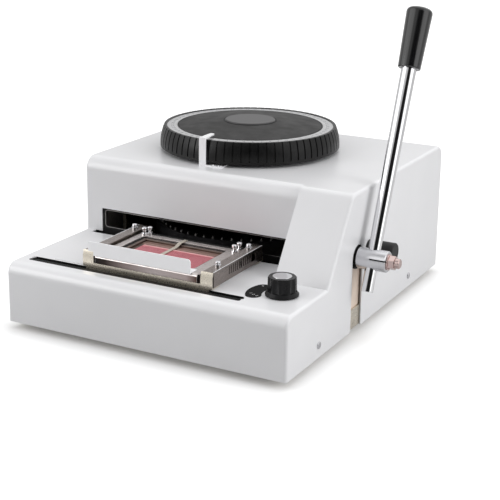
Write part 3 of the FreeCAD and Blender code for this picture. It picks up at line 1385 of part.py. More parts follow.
def lever_cam():
    x0 = CAM_X - CAM_WIDTH / 2
    x1 = CAM_X + CAM_WIDTH / 2
    points = []
    for degrees in range(0, 360, CAM_POINT_DEGREES):
        angle = math.radians(degrees)
        radius = cam_radius(degrees)
        points.append(Vector(x0, LEVER_Y + radius * math.sin(angle), LEVER_Z + radius * math.cos(angle)))
    curve = Part.BSplineCurve()
    curve.interpolate(Points=points, PeriodicFlag=True)
    disc = Part.Face(Part.Wire(curve.toShape())).extrude(Vector(x1 - x0, 0, 0))
    hub = bar_x(x0 - FORK_SIDE_GAP, x1 + FORK_SIDE_GAP, LEVER_Y, LEVER_Z, CAM_HUB_RADIUS)
    return disc.fuse(hub).cut(lever_shaft()).removeSplitter()


def press_arm(side):
    """One press arm; side is +1 for the upper arm and -1 for the lower arm."""
    pivot_z = LEVER_Z + side * ARM_PIVOT_RISE
    arm_front, arm_rear = arm_edges_y()
    roller_z = LEVER_Z + side * ROLLER_OFFSET
    fork_inner = ROLLER_WIDTH / 2 + FORK_SIDE_GAP
    fork_outer = fork_inner + FORK_THICK
    near_z = pivot_z - side * ARM_HALF_HEIGHT
    bar = box(
        ARM_TIP_X,
        CAM_X + fork_outer,
        arm_front,
        arm_rear,
        pivot_z - ARM_HALF_HEIGHT,
        pivot_z + ARM_HALF_HEIGHT,
    )
    pad_z = sorted((near_z, near_z - side * PAD_LENGTH))
    pad = bar_z(pad_z[0], pad_z[1], DIAL_X, ARM_Y, PAD_RADIUS)
    leg_end = roller_z - side * FORK_BELOW_PIN
    leg_z = sorted((leg_end, pivot_z + side * ARM_HALF_HEIGHT))
    solids = [pad]
    holes = []
    for x0 in (CAM_X - fork_outer, CAM_X + fork_inner):
        solids.append(box(x0, x0 + FORK_THICK, FORK_FRONT_Y, arm_rear, leg_z[0], leg_z[1]))
        holes.append(bar_x(x0 - CUT_OVER, x0 + FORK_THICK + CUT_OVER, LEVER_Y, roller_z, ROLLER_PIN_RADIUS))
    bore_radius = PIVOT_PIN_RADIUS + RUNNING_FIT
    holes.append(bar_y(arm_front - CUT_OVER, arm_rear + CUT_OVER, ARM_PIVOT_X, pivot_z, bore_radius))
    return bar.fuse(solids).cut(holes).removeSplitter()


def cam_roller(side):
    """A roller with its pin, in the fork of one press arm."""
    roller_z = LEVER_Z + side * ROLLER_OFFSET
    roller = bar_x(CAM_X - ROLLER_WIDTH / 2, CAM_X + ROLLER_WIDTH / 2, LEVER_Y, roller_z, ROLLER_RADIUS)
    reach = ROLLER_WIDTH / 2 + FORK_SIDE_GAP + FORK_THICK
    pin = bar_x(CAM_X - reach, CAM_X + reach, LEVER_Y, roller_z, ROLLER_PIN_RADIUS)
    return roller.fuse(pin).removeSplitter()


def carriage_front_bracket():
    y0 = BRACKET_FRONT_Y
    y1 = BRACKET_BACK_Y
    left = BRACKET_LEFT_X
    right = BRACKET_RIGHT_X
    plate = prism_y(
        [
            (left, BRACKET_SEAT_Z, 0),
            (left + TONGUE_INSET, BRACKET_SEAT_Z, 0),
            (left + TONGUE_INSET, TONGUE_BOTTOM_Z, 0),
            (right - TONGUE_INSET, TONGUE_BOTTOM_Z, 0),
            (right - TONGUE_INSET, BRACKET_SEAT_Z, 0),
            (right, BRACKET_SEAT_Z, 0),
            (right, EAR_BEND_Z, 0),
            (right - EAR_WIDTH, EAR_BEND_Z, 0),
            (right - EAR_WIDTH, BRACKET_STRIP_TOP_Z, 0),
            (left + EAR_WIDTH, BRACKET_STRIP_TOP_Z, 0),
            (left + EAR_WIDTH, EAR_BEND_Z, 0),
            (left, EAR_BEND_Z, 0),
        ],
        y0,
        y1,
    )
    shift = (EAR_TOP_Z - EAR_BEND_Z) * math.tan(math.radians(EAR_TILT))
    solids = []
    for x0 in (left, right - EAR_WIDTH):
        ear = prism_x(
            [
                (y0, EAR_BEND_Z, 0),
                (y1, EAR_BEND_Z, 0),
                (y1 + shift, EAR_TOP_Z, 0),
                (y0 + shift, EAR_TOP_Z, 0),
            ],
            x0,
            x0 + EAR_WIDTH,
        )
        solids.append(ear)
    for x0 in (LEFT_BAR_X, RIGHT_BAR_X):
        solids.append(box(x0, x0 + BAR_WIDTH, y0, y1 + TAB_LENGTH, BRACKET_SEAT_Z, TAB_TOP_Z))
    return plate.fuse(solids).removeSplitter()


def carriage_rear_bracket():
    y0 = REAR_BRACKET_Y
    y1 = y0 + BRACKET_THICK
    plate = box(
        BRACKET_LEFT_X + TONGUE_INSET,
        BRACKET_RIGHT_X - TONGUE_INSET,
        y0,
        y1,
        TONGUE_BOTTOM_Z,
        BRACKET_STRIP_TOP_Z,
    )
    strip = box(BRACKET_LEFT_X, BRACKET_RIGHT_X, y0, y1, BRACKET_SEAT_Z, BRACKET_STRIP_TOP_Z)
    solids = [strip]
    for x0 in (LEFT_BAR_X, RIGHT_BAR_X):
        solids.append(box(x0, x0 + BAR_WIDTH, y0 - TAB_LENGTH, y1, BRACKET_SEAT_Z, TAB_TOP_Z))
    return plate.fuse(solids).removeSplitter()


def slide_bar(x0, groove_side):
    """One side bar of the carriage, grooved on the side that faces the tag holder."""
    bar = prism_y(
        [
            (x0, TAB_TOP_Z, 0),
            (x0 + BAR_WIDTH, TAB_TOP_Z, 0),
            (x0 + BAR_WIDTH, BAR_TOP_Z, BAR_EDGE),
            (x0, BAR_TOP_Z, BAR_EDGE),
        ],
        BAR_FRONT_Y,
        BAR_REAR_Y,
    )
    face_x = x0 + BAR_WIDTH if groove_side > 0 else x0
    groove_x = sorted((face_x - groove_side * GROOVE_DEPTH, face_x + groove_side * CUT_OVER))
    groove = box(
        groove_x[0],
        groove_x[1],
        BAR_FRONT_Y - CUT_OVER,
        BAR_REAR_Y + CUT_OVER,
        RUNNER_BOTTOM_Z - GROOVE_GAP,
        RUNNER_BOTTOM_Z + RUNNER_FOOT + GROOVE_GAP,
    )
    return bar.cut([groove] + [stud_hole(x, y, BAR_TOP_Z) for x, y in CARRIAGE_STUDS])


def stud_hole(x, y, seat_z):
    return bar_z(seat_z - STUD_DEPTH, seat_z + CUT_OVER, x, y, STUD_NECK_RADIUS)


def left_slide_bar():
    return slide_bar(LEFT_BAR_X, 1)


def right_slide_bar():
    bar = slide_bar(RIGHT_BAR_X, -1)
    outer_x = RIGHT_BAR_X + BAR_WIDTH
    cutters = []
    for index in range(RACK_TEETH):
        y0 = RACK_START_Y + index * RACK_PITCH
        cutters.append(
            box(outer_x - RACK_DEPTH, outer_x + CUT_OVER, y0, y0 + RACK_SLOT, RACK_LOW_Z, RACK_HIGH_Z)
        )
    return bar.cut(cutters)


def carriage_sliders():
    left = BRACKET_LEFT_X + SLIDER_INSET
    right = BRACKET_RIGHT_X - SLIDER_INSET - SLIDER_WIDTH
    blocks = []
    for y in (FRONT_RAIL_Y, REAR_RAIL_Y):
        for x0 in (left, right):
            block = box(
                x0,
                x0 + SLIDER_WIDTH,
                y - SLIDER_HALF_DEPTH,
                y + SLIDER_HALF_DEPTH,
                RAIL_Z - SLIDER_HALF_HEIGHT,
                SLIDER_TOP_Z,
            )
            bore = bar_x(x0 - CUT_OVER, x0 + SLIDER_WIDTH + CUT_OVER, y, RAIL_Z, RAIL_RADIUS + RUNNING_FIT)
            blocks.append(block.cut(bore))
    return Part.makeCompound(blocks)


def stud(x, y, seat_z):
    """A chromed stud with its nut, standing on a flat top."""
    shank = bar_z(seat_z - STUD_DEPTH, STUD_TOP_Z - STUD_HEAD_HEIGHT, x, y, STUD_NECK_RADIUS)
    nut = bar_z(seat_z, seat_z + STUD_NUT_HEIGHT, x, y, STUD_NUT_RADIUS)
    head_z = STUD_TOP_Z - STUD_HEAD_HEIGHT
    corners = [
        (Vector(0, 0, head_z), 0),
        (Vector(STUD_HEAD_RADIUS, 0, head_z), STUD_HEAD_EDGE),
        (Vector(STUD_HEAD_RADIUS, 0, STUD_TOP_Z), STUD_HEAD_EDGE),
        (Vector(0, 0, STUD_TOP_Z), 0),
    ]
    head = Part.Face(rounded_wire(corners)).revolve(Vector(0, 0, 0), Vector(0, 0, 1), 360)
    head.translate(Vector(x, y, 0))
    return shank.fuse([nut, head]).removeSplitter()


def carriage_studs():
    return Part.makeCompound([stud(x, y, BAR_TOP_Z) for x, y in CARRIAGE_STUDS])


def holder_studs():
    return Part.makeCompound([stud(x, y, HOLDER_TOP_Z) for x, y in HOLDER_STUDS])


def holder_frame():
    under = HOLDER_UNDER_Z
    inner_bend = HOLDER_BEND - HOLDER_SHEET
    flange = prism_x(
        [
            (HOLDER_FRONT_Y, HOLDER_FLANGE_BOTTOM_Z, 0),
            (HOLDER_FRONT_Y, HOLDER_TOP_Z, HOLDER_BEND),
            (WINDOW_FRONT_Y, HOLDER_TOP_Z, 0),
            (WINDOW_FRONT_Y, under, 0),
            (HOLDER_FRONT_Y + HOLDER_SHEET, under, inner_bend),
            (HOLDER_FRONT_Y + HOLDER_SHEET, HOLDER_FLANGE_BOTTOM_Z, 0),
        ],
        HOLDER_LEFT_X + HOLDER_FLANGE_INSET,
        HOLDER_RIGHT_X - HOLDER_FLANGE_INSET,
    )
    front = HOLDER_FRONT_Y + HOLDER_BEND
    sheet = prism_z(
        [
            (HOLDER_LEFT_X, front, HOLDER_FLANGE_INSET),
            (HOLDER_RIGHT_X, front, HOLDER_FLANGE_INSET),
            (HOLDER_RIGHT_X, HOLDER_REAR_Y, HOLDER_CORNER),
            (HOLDER_LEFT_X, HOLDER_REAR_Y, HOLDER_CORNER),
        ],
        under,
        HOLDER_TOP_Z,
    )
    window = rounded_block_z(
        WINDOW_LEFT_X,
        WINDOW_RIGHT_X,
        WINDOW_FRONT_Y,
        WINDOW_REAR_Y,
        under - CUT_OVER,
        HOLDER_TOP_Z + CUT_OVER,
        WINDOW_CORNER,
    )
    holes = [window] + [stud_hole(x, y, HOLDER_TOP_Z) for x, y in HOLDER_STUDS]
    return sheet.fuse(flange).cut(holes).removeSplitter()


def holder_runners():
    runners = []
    low = RUNNER_BOTTOM_Z
    foot_top = low + RUNNER_FOOT
    left_web = HOLDER_LEFT_X + RUNNER_INSET
    right_web = HOLDER_RIGHT_X - RUNNER_INSET
    for web_x, tip_x, inward in ((left_web, RUNNER_LEFT_X, 1), (right_web, RUNNER_RIGHT_X, -1)):
        web = sorted((web_x, web_x + inward * RUNNER_THICK))
        foot = sorted((tip_x, web_x + inward * RUNNER_THICK))
        upright = box(web[0], web[1], RUNNER_FRONT_Y, RUNNER_REAR_Y, low, HOLDER_UNDER_Z)
        flat = box(foot[0], foot[1], RUNNER_FRONT_Y, RUNNER_REAR_Y, low, foot_top)
        runners.append(upright.fuse(flat).removeSplitter())
    return Part.makeCompound(runners)


def holder_tray():
    x0 = HOLDER_LEFT_X + RUNNER_INSET + RUNNER_THICK + TRAY_MARGIN_X
    x1 = HOLDER_RIGHT_X - RUNNER_INSET - RUNNER_THICK - TRAY_MARGIN_X
    tray = box(x0, x1, TRAY_FRONT_Y, TRAY_REAR_Y, TRAY_BOTTOM_Z, HOLDER_UNDER_Z)
    over = HOLDER_UNDER_Z + CUT_OVER
    pocket = box(POCKET_LEFT_X, POCKET_RIGHT_X, POCKET_FRONT_Y, POCKET_REAR_Y, POCKET_Z, over)
    window = box(
        TAG_LEFT_X + TAG_LEDGE,
        TAG_RIGHT_X - TAG_LEDGE,
        TAG_FRONT_Y + TAG_LEDGE,
        TAG_REAR_Y - TAG_LEDGE,
        TRAY_BOTTOM_Z - CUT_OVER,
        POCKET_Z + CUT_OVER,
    )
    return tray.cut([pocket, window])


def tag_plate():
    return rounded_block_z(
        TAG_LEFT_X, TAG_RIGHT_X, TAG_FRONT_Y, TAG_REAR_Y, POCKET_Z, TAG_TOP_Z, TAG_CORNER
    )


def handle_plate():
    y1 = HOLDER_FRONT_Y - HANDLE_FRONT_GAP
    y0 = y1 - HANDLE_SHEET
    low_z = HOLDER_TOP_Z - HANDLE_LIP
    horn_z = EAR_TOP_Z + HANDLE_HORN_LIFT
    plate = prism_y(
        [
            (HANDLE_LEFT_X, low_z, 0),
            (HANDLE_RIGHT_X, low_z, 0),
            (HANDLE_RIGHT_X, HANDLE_TOP_Z, HANDLE_CORNER),
            (HANDLE_HORN_X, HANDLE_TOP_Z, HANDLE_HORN_CORNER),
            (HANDLE_HORN_X, horn_z, 0),
            (HANDLE_LEFT_X, horn_z, 0),
        ],
        y0,
        y1,
    )
    foot_top = HOLDER_TOP_Z + HANDLE_SHEET
    foot = box(HANDLE_FOOT_LEFT_X, HANDLE_RIGHT_X, y0, HANDLE_FOOT_REAR_Y, HOLDER_TOP_Z, foot_top)
    return plate.fuse(foot).removeSplitter()


def divider_clip():
    top = HOLDER_TOP_Z
    low = TAG_TOP_Z
    return prism_x(
        [
            (CLIP_REAR_Y, top, 0),
            (CLIP_KNEE_Y, top, 0),
            (CLIP_HEEL_Y, low, 0),
            (CLIP_TIP_Y, low, 0),
            (CLIP_TIP_Y, low + CLIP_SHEET, 0),
            (CLIP_HEEL_Y + CLIP_SHEET / 2, low + CLIP_SHEET, 0),
            (CLIP_KNEE_Y + CLIP_SHEET / 2, top + CLIP_SHEET, 0),
            (CLIP_REAR_Y, top + CLIP_SHEET, 0),
        ],
        CLIP_X - CLIP_WIDTH / 2,
        CLIP_X + CLIP_WIDTH / 2,
    )


def selector_knob():
    skirt_z = KNOB_BOTTOM_Z + KNOB_SKIRT_HEIGHT
    knob = turned(
        [
            (0, KNOB_STEM_BOTTOM_Z),
            (KNOB_STEM_RADIUS, KNOB_STEM_BOTTOM_Z),
            (KNOB_STEM_RADIUS, KNOB_BOTTOM_Z),
            (KNOB_SKIRT_RADIUS, KNOB_BOTTOM_Z),
            (KNOB_SKIRT_RADIUS, KNOB_BOTTOM_Z + KNOB_RIM_HEIGHT),
            (KNOB_BODY_RADIUS, skirt_z),
            (KNOB_BODY_TOP_RADIUS, KNOB_TOP_Z - KNOB_EDGE),
            (KNOB_BODY_TOP_RADIUS - KNOB_EDGE, KNOB_TOP_Z),
            (0, KNOB_TOP_Z),
        ],
        KNOB_X,
        KNOB_Y,
    )
    circle = KNOB_BODY_RADIUS + KNOB_FLUTE_OUT
    cutters = [
        bar_z(skirt_z, KNOB_TOP_Z + CUT_OVER, x, y, KNOB_FLUTE_RADIUS)
        for x, y in on_circle(KNOB_FLUTES, circle, KNOB_X, KNOB_Y)
    ]
    cutters.append(bar_z(CAP_SEAT_Z, KNOB_TOP_Z + CUT_OVER, KNOB_X, KNOB_Y, KNOB_CAP_RADIUS))
    return knob.cut(cutters)


def knob_cap():
    return bar_z(CAP_SEAT_Z, CAP_SEAT_Z + KNOB_CAP_THICK, KNOB_X, KNOB_Y, KNOB_CAP_RADIUS)


PIECES = {
    "casing_shell": casing_shell,
    "base_plate": base_plate,
    "rubber_feet": rubber_feet,
    "side_screws": side_screws,
    "deck_plate": deck_plate,
    "shroud_panel": shroud_panel,
    "right_frame_plate": right_frame_plate,
    "inner_frame_plate": inner_frame_plate,
    "left_frame_plate": left_frame_plate,
    "top_plate": top_plate,
    "frame_spacers": frame_spacers,
    "spindle_bearings": spindle_bearings,
    "shaft_bearings": shaft_bearings,
    "pivot_lugs": pivot_lugs,
    "pivot_pins": pivot_pins,
    "return_spring": return_spring,
    "stop_bumper": stop_bumper,
    "rail_blocks": rail_blocks,
    "carriage_rails": carriage_rails,
    "knob_label": knob_label,
    "pointer_bracket": pointer_bracket,
    "pointer_screws": pointer_screws,
    "detent_post": detent_post,
    "detent_arm": detent_arm,
    "detent_wheel": detent_wheel,
    "dial_skirt": dial_skirt,
    "dial_ring": dial_ring,
    "dial_face": dial_face,
    "dial_disc": dial_disc,
    "spindle": spindle,
    "lower_type_wheel": lower_type_wheel,
    "upper_type_wheel": upper_type_wheel,
    "lower_punches": lambda: punches(LOWER_PUNCH_TIP_Z, LOWER_PUNCH_END_Z),
    "upper_punches": lambda: punches(UPPER_PUNCH_TIP_Z, UPPER_PUNCH_END_Z),
    "lever_shaft": lever_shaft,
    "lever_cam": lever_cam,
    "lever_hub": lever_hub,
    "lever_collar": lever_collar,
    "lever_rod": lever_rod,
    "lever_grip": lever_grip,
    "lever_bolt": lever_bolt,
    "upper_press_arm": lambda: press_arm(1),
    "upper_cam_roller": lambda: cam_roller(1),
    "lower_press_arm": lambda: press_arm(-1),
    "lower_cam_roller": lambda: cam_roller(-1),
    "carriage_front_bracket": carriage_front_bracket,
    "carriage_rear_bracket": carriage_rear_bracket,
    "left_slide_bar": left_slide_bar,
    "right_slide_bar": right_slide_bar,
    "carriage_sliders": carriage_sliders,
    "carriage_studs": carriage_studs,
    "holder_frame": holder_frame,
    "holder_runners": holder_runners,
    "holder_tray": holder_tray,
    "tag_plate": tag_plate,
    "handle_plate": handle_plate,
    "divider_clip": divider_clip,
    "holder_studs": holder_studs,
    "selector_knob": selector_knob,
    "knob_cap": knob_cap,
}

os.makedirs("parts", exist_ok=True)
for name, make in PIECES.items():
    piece = make()
    piece.translate(Vector(-ORIGIN_X, -ORIGIN_Y, -ORIGIN_Z))
    piece.exportStep("parts/" + name + ".step")
    volume_cm3 = round(piece.Volume / 1000.0, 2)
    print(name, len(piece.Solids), "solids", volume_cm3, "cm3", "valid", piece.isValid())
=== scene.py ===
"""Metal tag embossing machine: the looks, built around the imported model.

Metres, in the same frame as the model: the floor is z = 0, the operator stands on the -Y side.
The file is laid out as an add-on with a panel, and is run as a script.
"""

import json
import math

import bpy
from bpy.props import FloatProperty, FloatVectorProperty, IntProperty, PointerProperty
from bpy.types import Operator, Panel, PropertyGroup
from mathutils import Matrix, Vector

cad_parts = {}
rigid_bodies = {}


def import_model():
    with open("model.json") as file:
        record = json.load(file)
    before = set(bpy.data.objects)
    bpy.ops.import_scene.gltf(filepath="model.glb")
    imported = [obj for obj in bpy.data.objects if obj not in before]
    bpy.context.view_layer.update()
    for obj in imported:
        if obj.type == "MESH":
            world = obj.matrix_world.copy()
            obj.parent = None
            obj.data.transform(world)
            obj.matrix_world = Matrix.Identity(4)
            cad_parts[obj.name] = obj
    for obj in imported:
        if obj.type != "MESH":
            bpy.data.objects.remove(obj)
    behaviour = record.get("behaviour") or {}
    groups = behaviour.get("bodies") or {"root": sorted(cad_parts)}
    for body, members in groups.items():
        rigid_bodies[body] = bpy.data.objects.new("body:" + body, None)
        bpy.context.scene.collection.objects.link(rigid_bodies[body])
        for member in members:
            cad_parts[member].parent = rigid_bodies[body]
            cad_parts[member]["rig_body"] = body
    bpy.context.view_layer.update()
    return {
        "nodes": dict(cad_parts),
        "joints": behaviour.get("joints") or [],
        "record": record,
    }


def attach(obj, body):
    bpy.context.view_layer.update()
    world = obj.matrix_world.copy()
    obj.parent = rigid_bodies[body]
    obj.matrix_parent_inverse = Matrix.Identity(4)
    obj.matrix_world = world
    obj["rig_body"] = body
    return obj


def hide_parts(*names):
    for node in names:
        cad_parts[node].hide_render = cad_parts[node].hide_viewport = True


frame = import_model()

bl_info = {
    "name": "Tag Embossing Machine",
    "version": (1, 0, 0),
    "blender": (4, 5, 0),
    "location": "View3D > Sidebar > Embosser",
    "description": "Builds the looks of a bench machine that embosses metal tags",
    "category": "Object",
}

SLOT_OF = {part["node"]: part["material_slot"] for part in frame["record"]["subparts"]}
BODY_OF = {node: piece["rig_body"] for node, piece in frame["nodes"].items()}
JOINTS = {joint["name"]: joint for joint in frame["joints"]}
DIAL_AT = Vector(JOINTS["dial_turn"]["pos_m"])

MM = 0.001
# Vertices closer together than this, in metres, are made one
MERGE = 1e-6
# In degrees: edges sharper than CRISP are rounded and stay crisp, faces within FLAT are made one
CRISP = 35
FLAT = 0.1
# How far large faces lead the shading, from 0 to 100, where 50 is even
FACE_WEIGHT = 80
Y_AXIS, Z_AXIS = 1, 2
# A face whose normal has this much of an axis faces along it
FACING = 0.9
BEVEL_STEPS = 2
CORNER_STEPS = 8
RING_STEPS = 128
FIGURE_STEPS = 2
FLOOR_STEPS = 8
# The part of a noise's range in which nearly all of its values lie
NOISE_LOW, NOISE_HIGH = 0.3, 0.7

# From here to the slit of the hub, sizes and places are in millimetres to the right, to the rear
# and up from the casing's lower front left corner, which is here in the frame, in millimetres too
DATUM = (-199.25, -220.0, 9.0)

# Thin trim, each box from its lower front left corner to its upper rear right one
BAY_WINDOW = ((26.9, 155.3, 74.9), (273.6, 155.7, 96.3))
BAY_WINDOW_CORNER = 3.5
# Black sheets that paint the shade inside the front slot and the dark band along its front
SLOT_SHADE_UNDER = ((11.5, 24.8, 67.1), (286.5, 32.0, 67.5))
SLOT_SHADE_BEHIND = ((15.0, 34.2, 67.5), (283.0, 34.5, 68.9))
SLOT_SHADE_LIP = ((14.0, 21.2, 68.8), (284.0, 26.6, 69.2))
SLOT_SHADE_CORNER = 2.2
# Light strips on the outer top edges of the bars that paint their highlights
BAR_EDGE_HIGHLIGHTS = (
    ((81.2, 36.6, 88.35), (82.1, 146.4, 88.5)),
    ((244.4, 36.6, 88.35), (245.3, 146.4, 88.5)),
)
# A black strip that paints the dark band at the rear of the holder's top
REAR_SHADE = ((99, 126.3, 85.3), (228.6, 130.8, 85.6))
# Black strips just inside the holder's window that paint the shadow under its edges
WINDOW_SHADOW = (
    ((106.6, 44.2, 83.8), (109.2, 118.3, 84.2)),
    ((106.6, 115.6, 83.8), (215.8, 118.3, 84.2)),
    ((213.9, 44.2, 83.8), (215.8, 118.3, 84.2)),
)
TRAY_RIBS = (
    ((114, 107.6, 81.8), (218, 109.4, 82.4)),
    ((114, 101.2, 81.8), (218, 105.6, 82.4)),
)
# The tag's folded rear edge, drawn pale as a painted highlight
TAG_FOLD = ((120.6, 93.4, 82.8), (216, 96.8, 83.25))
# The holder's front flange, as a sheet that carries painted shade
FRONT_FLANGE = ((99.6, 29.4, 76.6), (228, 29.85, 82.8))

# The dial's centre, the top of its scale ring, the radius on which the figures stand, and the
# height, inner and outer radius and thickness of the black rings of painted shade beside its disc
# and its ring
DIAL_CENTRE = (147.7, 297.8)
RING_TOP = 188.5
FIGURE_RADIUS = 96.5
DISC_SHADE_RING = (194.35, 31.1, 33.0, 0.3)
RING_SHADE_RING = (RING_TOP, 88.6, 90.0, 0.25)

# Figure, place, height and turn in radians of the marks on the knob's label
LABEL_FIGURES = (
    ("1", (283.6, 47.6, 69.52), 4.5, -0.9),
    ("2", (287.9, 45.2, 69.52), 4.5, -0.7),
    ("3", (292.6, 43.6, 69.52), 4.5, -0.5),
    ("0", (284.4, 73.6, 69.52), 4.2, -2.0),
)

# The lever's axis at its hub, how far in front of it and square to the lever the clamping slit
# lies, the lever's lean in degrees, and the width, depth and height of the slit's painted shade
HUB_AT = (377.05, 174, 84.3)
SLIT_OFF = 10.5
LEVER_LEAN = 17
SLIT_SIZE = (17.5, 2.3, 1.46)

# Painted shade along the holder's front flange, from its left end at 0 to its right end at 1
FLANGE_PAINTED_SHADE = (
    (0.0, "0C0907"), (0.1, "2B211C"), (0.3, "8A7C78"),
    (0.6, "B3A8A7"), (0.9, "AD9F9C"), (1.0, "5A4238"),
)

# Soft boxes in the sky: azimuth from the front towards the right, elevation, inner and outer half
# angle, all in degrees, and gain; and the dark room behind the camera in the same way
SOFT_BOXES = ((-52, 24, 22, 34, 0.95), (84, 20, 20, 32, 0.95), (170, 58, 25, 50, 0.8))
DARK_ROOM = (31, -5, 38, 46)
# Place and aim of the lamps and their width, in metres
LEFT_LAMP = ((-0.75, -0.85, 0.55), (-0.05, -0.1, 0.1))
RIGHT_LAMP = ((1.15, -0.1, 0.5), (0.2, 0.05, 0.1))
LAMP_WIDTH = 0.6
SENSOR_WIDTH = 36
CAMERA_REACH = 50


def linear(hex_colour):
    """A linear RGBA colour from an sRGB hex value such as E6E6E8."""
    channels = []
    for start in (0, 2, 4):
        value = int(hex_colour[start:start + 2], 16) / 255
        channels.append(value / 12.92 if value <= 0.04045 else ((value + 0.055) / 1.055) ** 2.4)
    return (*channels, 1.0)


def colour_property(name, hex_colour, description):
    return FloatVectorProperty(
        name=name, description=description, subtype="COLOR", size=4, min=0, max=1,
        default=linear(hex_colour),
    )


def length_property(name, default, description):
    return FloatProperty(name=name, description=description, default=default, unit="LENGTH")


class EmbosserSizes(PropertyGroup):
    """Sizes of the small details that the looks add."""

    sheet_edge: length_property("Sheet edge", 0.00025, "Rounding of cut and painted sheet edges")
    part_edge: length_property("Part edge", 0.0003, "Rounding of machined edges")
    rib_edge: length_property("Rib edge", 0.0002, "Rounding of the tray's ribs")
    flange_edge: length_property("Flange edge", 0.00015, "Rounding of the holder's front flange")
    # The trim edge rounds the black strip of painted shade at the holder's rear and the tag's fold
    trim_edge: length_property("Trim edge", 0.00004, "Rounding of felt and of the tag's fold")
    cut_edge: length_property("Cut edge", 0.00045, "Width of the bright cut edge of the shroud")
    figure_height: length_property("Figure height", 0.0052, "Height of the dial figures")
    mark_relief: length_property("Mark relief", 0.00004, "How far printed marks stand up")
    scale_marks: IntProperty(
        name="Scale marks", description="Divisions on the dial ring", default=60
    )


class EmbosserColours(PropertyGroup):
    """Colours of the finishes."""

    enamel: colour_property("Casing enamel", "DFDFE1", "Light grey baked enamel of the casing")
    white_enamel: colour_property("White enamel", "F5F5F7", "Enamel of handle and pointer")
    black_plastic: colour_property("Black moulding", "0F0F0F", "Moulded black of the dial's skirt")
    grip_black: colour_property("Grip black", "0F0F10", "Glossy black of the grip and the knob")
    dial_black: colour_property("Dial black", "1A1919", "Fine-grained black of the dial's face")
    disc_grey: colour_property("Disc grey", "4B4A4B", "Dark satin disc in the dial's middle")
    aluminium: colour_property("Aluminium", "CFCFD0", "Spun aluminium of the dial's ring")
    zinc: colour_property("Zinc", "DCD4C5", "Warm zinc plating of brackets and plates")
    steel: colour_property("Milled steel", "A8A6A4", "Milled steel of the frame and the punches")
    bar_steel: colour_property("Bar steel", "958C87", "Drawn steel of the slide bars")
    holder_steel: colour_property("Holder steel", "CFC8C5", "Bright sheet of the tag holder")
    # The tray's colour is browned steel darkened further as painted shade
    tray_steel_and_shade: colour_property("Tray steel", "6B5A52", "Browned sheet of the tray under the tag")
    chrome: colour_property("Chrome", "E6E6E8", "Chromium plating of the lever and the studs")
    satin_chrome: colour_property("Satin chrome", "CDCDD0", "Hazed chromium of the lever's hub")
    nickel: colour_property("Nickel", "C6B1AD", "Polished nickel of the lever's bolt")
    black_oxide: colour_property("Black oxide", "101010", "Blackened sheet inside the bay")
    cast_iron: colour_property("Cast iron", "4A4A4C", "Machined cast iron of the type wheels")
    bronze: colour_property("Bronze", "8C6B3F", "Sintered bronze of the bushes")
    rubber: colour_property("Rubber", "1C1C1D", "Moulded rubber of the feet and the stop")
    tag_rose: colour_property("Tag rose", "C96C76", "Rose anodised tag blank")
    peach: colour_property("Peach zinc", "F3E0D0", "Passivated zinc behind the side slot")
    # The pale fold colour paints the highlight along the tag's folded edge
    tag_fold_highlight: colour_property("Tag fold", "DDA6A6", "Pale folded edge of the tag blank")
    # This rosy colour paints light on the tray's ribs and the rose tag's reflection in them
    rosy_painted_light: colour_property("Rosy steel", "9A7C72", "Browned sheet that mirrors the tag")
    mark_white: colour_property("Mark white", "E8E8E8", "White printed marks")
    mark_grey: colour_property("Mark grey", "85868A", "Engraved figures on the ring")
    floor_white: colour_property("Floor", "F2F2F2", "Pale studio floor")
    floor_mirror: colour_property("Floor mirror", "C8C8C8", "Floor as metal and gloss show it")
    floor_bounce: colour_property("Floor bounce", "A0A0A0", "Floor as light from below")


class EmbosserStudio(PropertyGroup):
    """Camera, lamps and floor."""

    camera_at: FloatVectorProperty(
        name="Camera", description="Where the camera stands",
        default=(0.6489, -1.24531, 0.51554), subtype="XYZ", unit="LENGTH",
    )
    azimuth: FloatProperty(
        name="Azimuth", description="Camera direction from the front towards the right",
        default=math.radians(28.062), subtype="ANGLE",
    )
    elevation: FloatProperty(
        name="Elevation", description="Camera height angle", default=math.radians(15.774),
        subtype="ANGLE",
    )
    roll: FloatProperty(
        name="Roll", description="Camera roll", default=math.radians(0.715), subtype="ANGLE"
    )
    lens: FloatProperty(
        name="Lens", description="Focal length of the camera, in millimetres", default=88.62
    )
    shift_x: FloatProperty(name="Shift X", description="Sideways lens shift", default=0.0087)
    shift_y: FloatProperty(name="Shift Y", description="Upward lens shift", default=-0.0884)
    floor_size: length_property("Floor size", 16.0, "Side of the floor")
    floor_glow: FloatProperty(
        name="Floor glow", default=0.3,
        description="Light added to the floor that the eye sees, clear of the machine",
    )
    # The glow's fall towards the casing paints a shadow round it
    shadow_share: FloatProperty(
        name="Shadow share", description="Share of that light right at the casing", default=0.4
    )
    shadow_reach: length_property(
        "Shadow reach", 0.04, "How far from the casing that light grows to its full strength"
    )
    lamp_power: FloatProperty(
        name="Lamp power", description="Power of the lamp at the left front", default=2.6,
        unit="POWER",
    )
    side_power: FloatProperty(
        name="Side power", description="Power of the lamp at the right", default=4.8, unit="POWER"
    )
    wall_level: FloatProperty(
        name="Wall level", description="Light of the studio's white walls", default=0.63
    )
    dark_level: FloatProperty(
        name="Dark level", default=0.02,
        description="Share of that light in the dark room behind the camera",
    )


def sizes():
    return bpy.context.scene.embosser_sizes


def colours():
    return bpy.context.scene.embosser_colours


def studio_values():
    return bpy.context.scene.embosser_studio


def at(x, y, z):
    """A place in the frame from millimetres to the right, to the rear and up from the datum."""
    return Vector((x + DATUM[0], y + DATUM[1], z + DATUM[2])) * MM


def per_mm(size_mm):
    """The scale of a noise whose features are about that many millimetres across."""
    return 1 / (size_mm * MM)


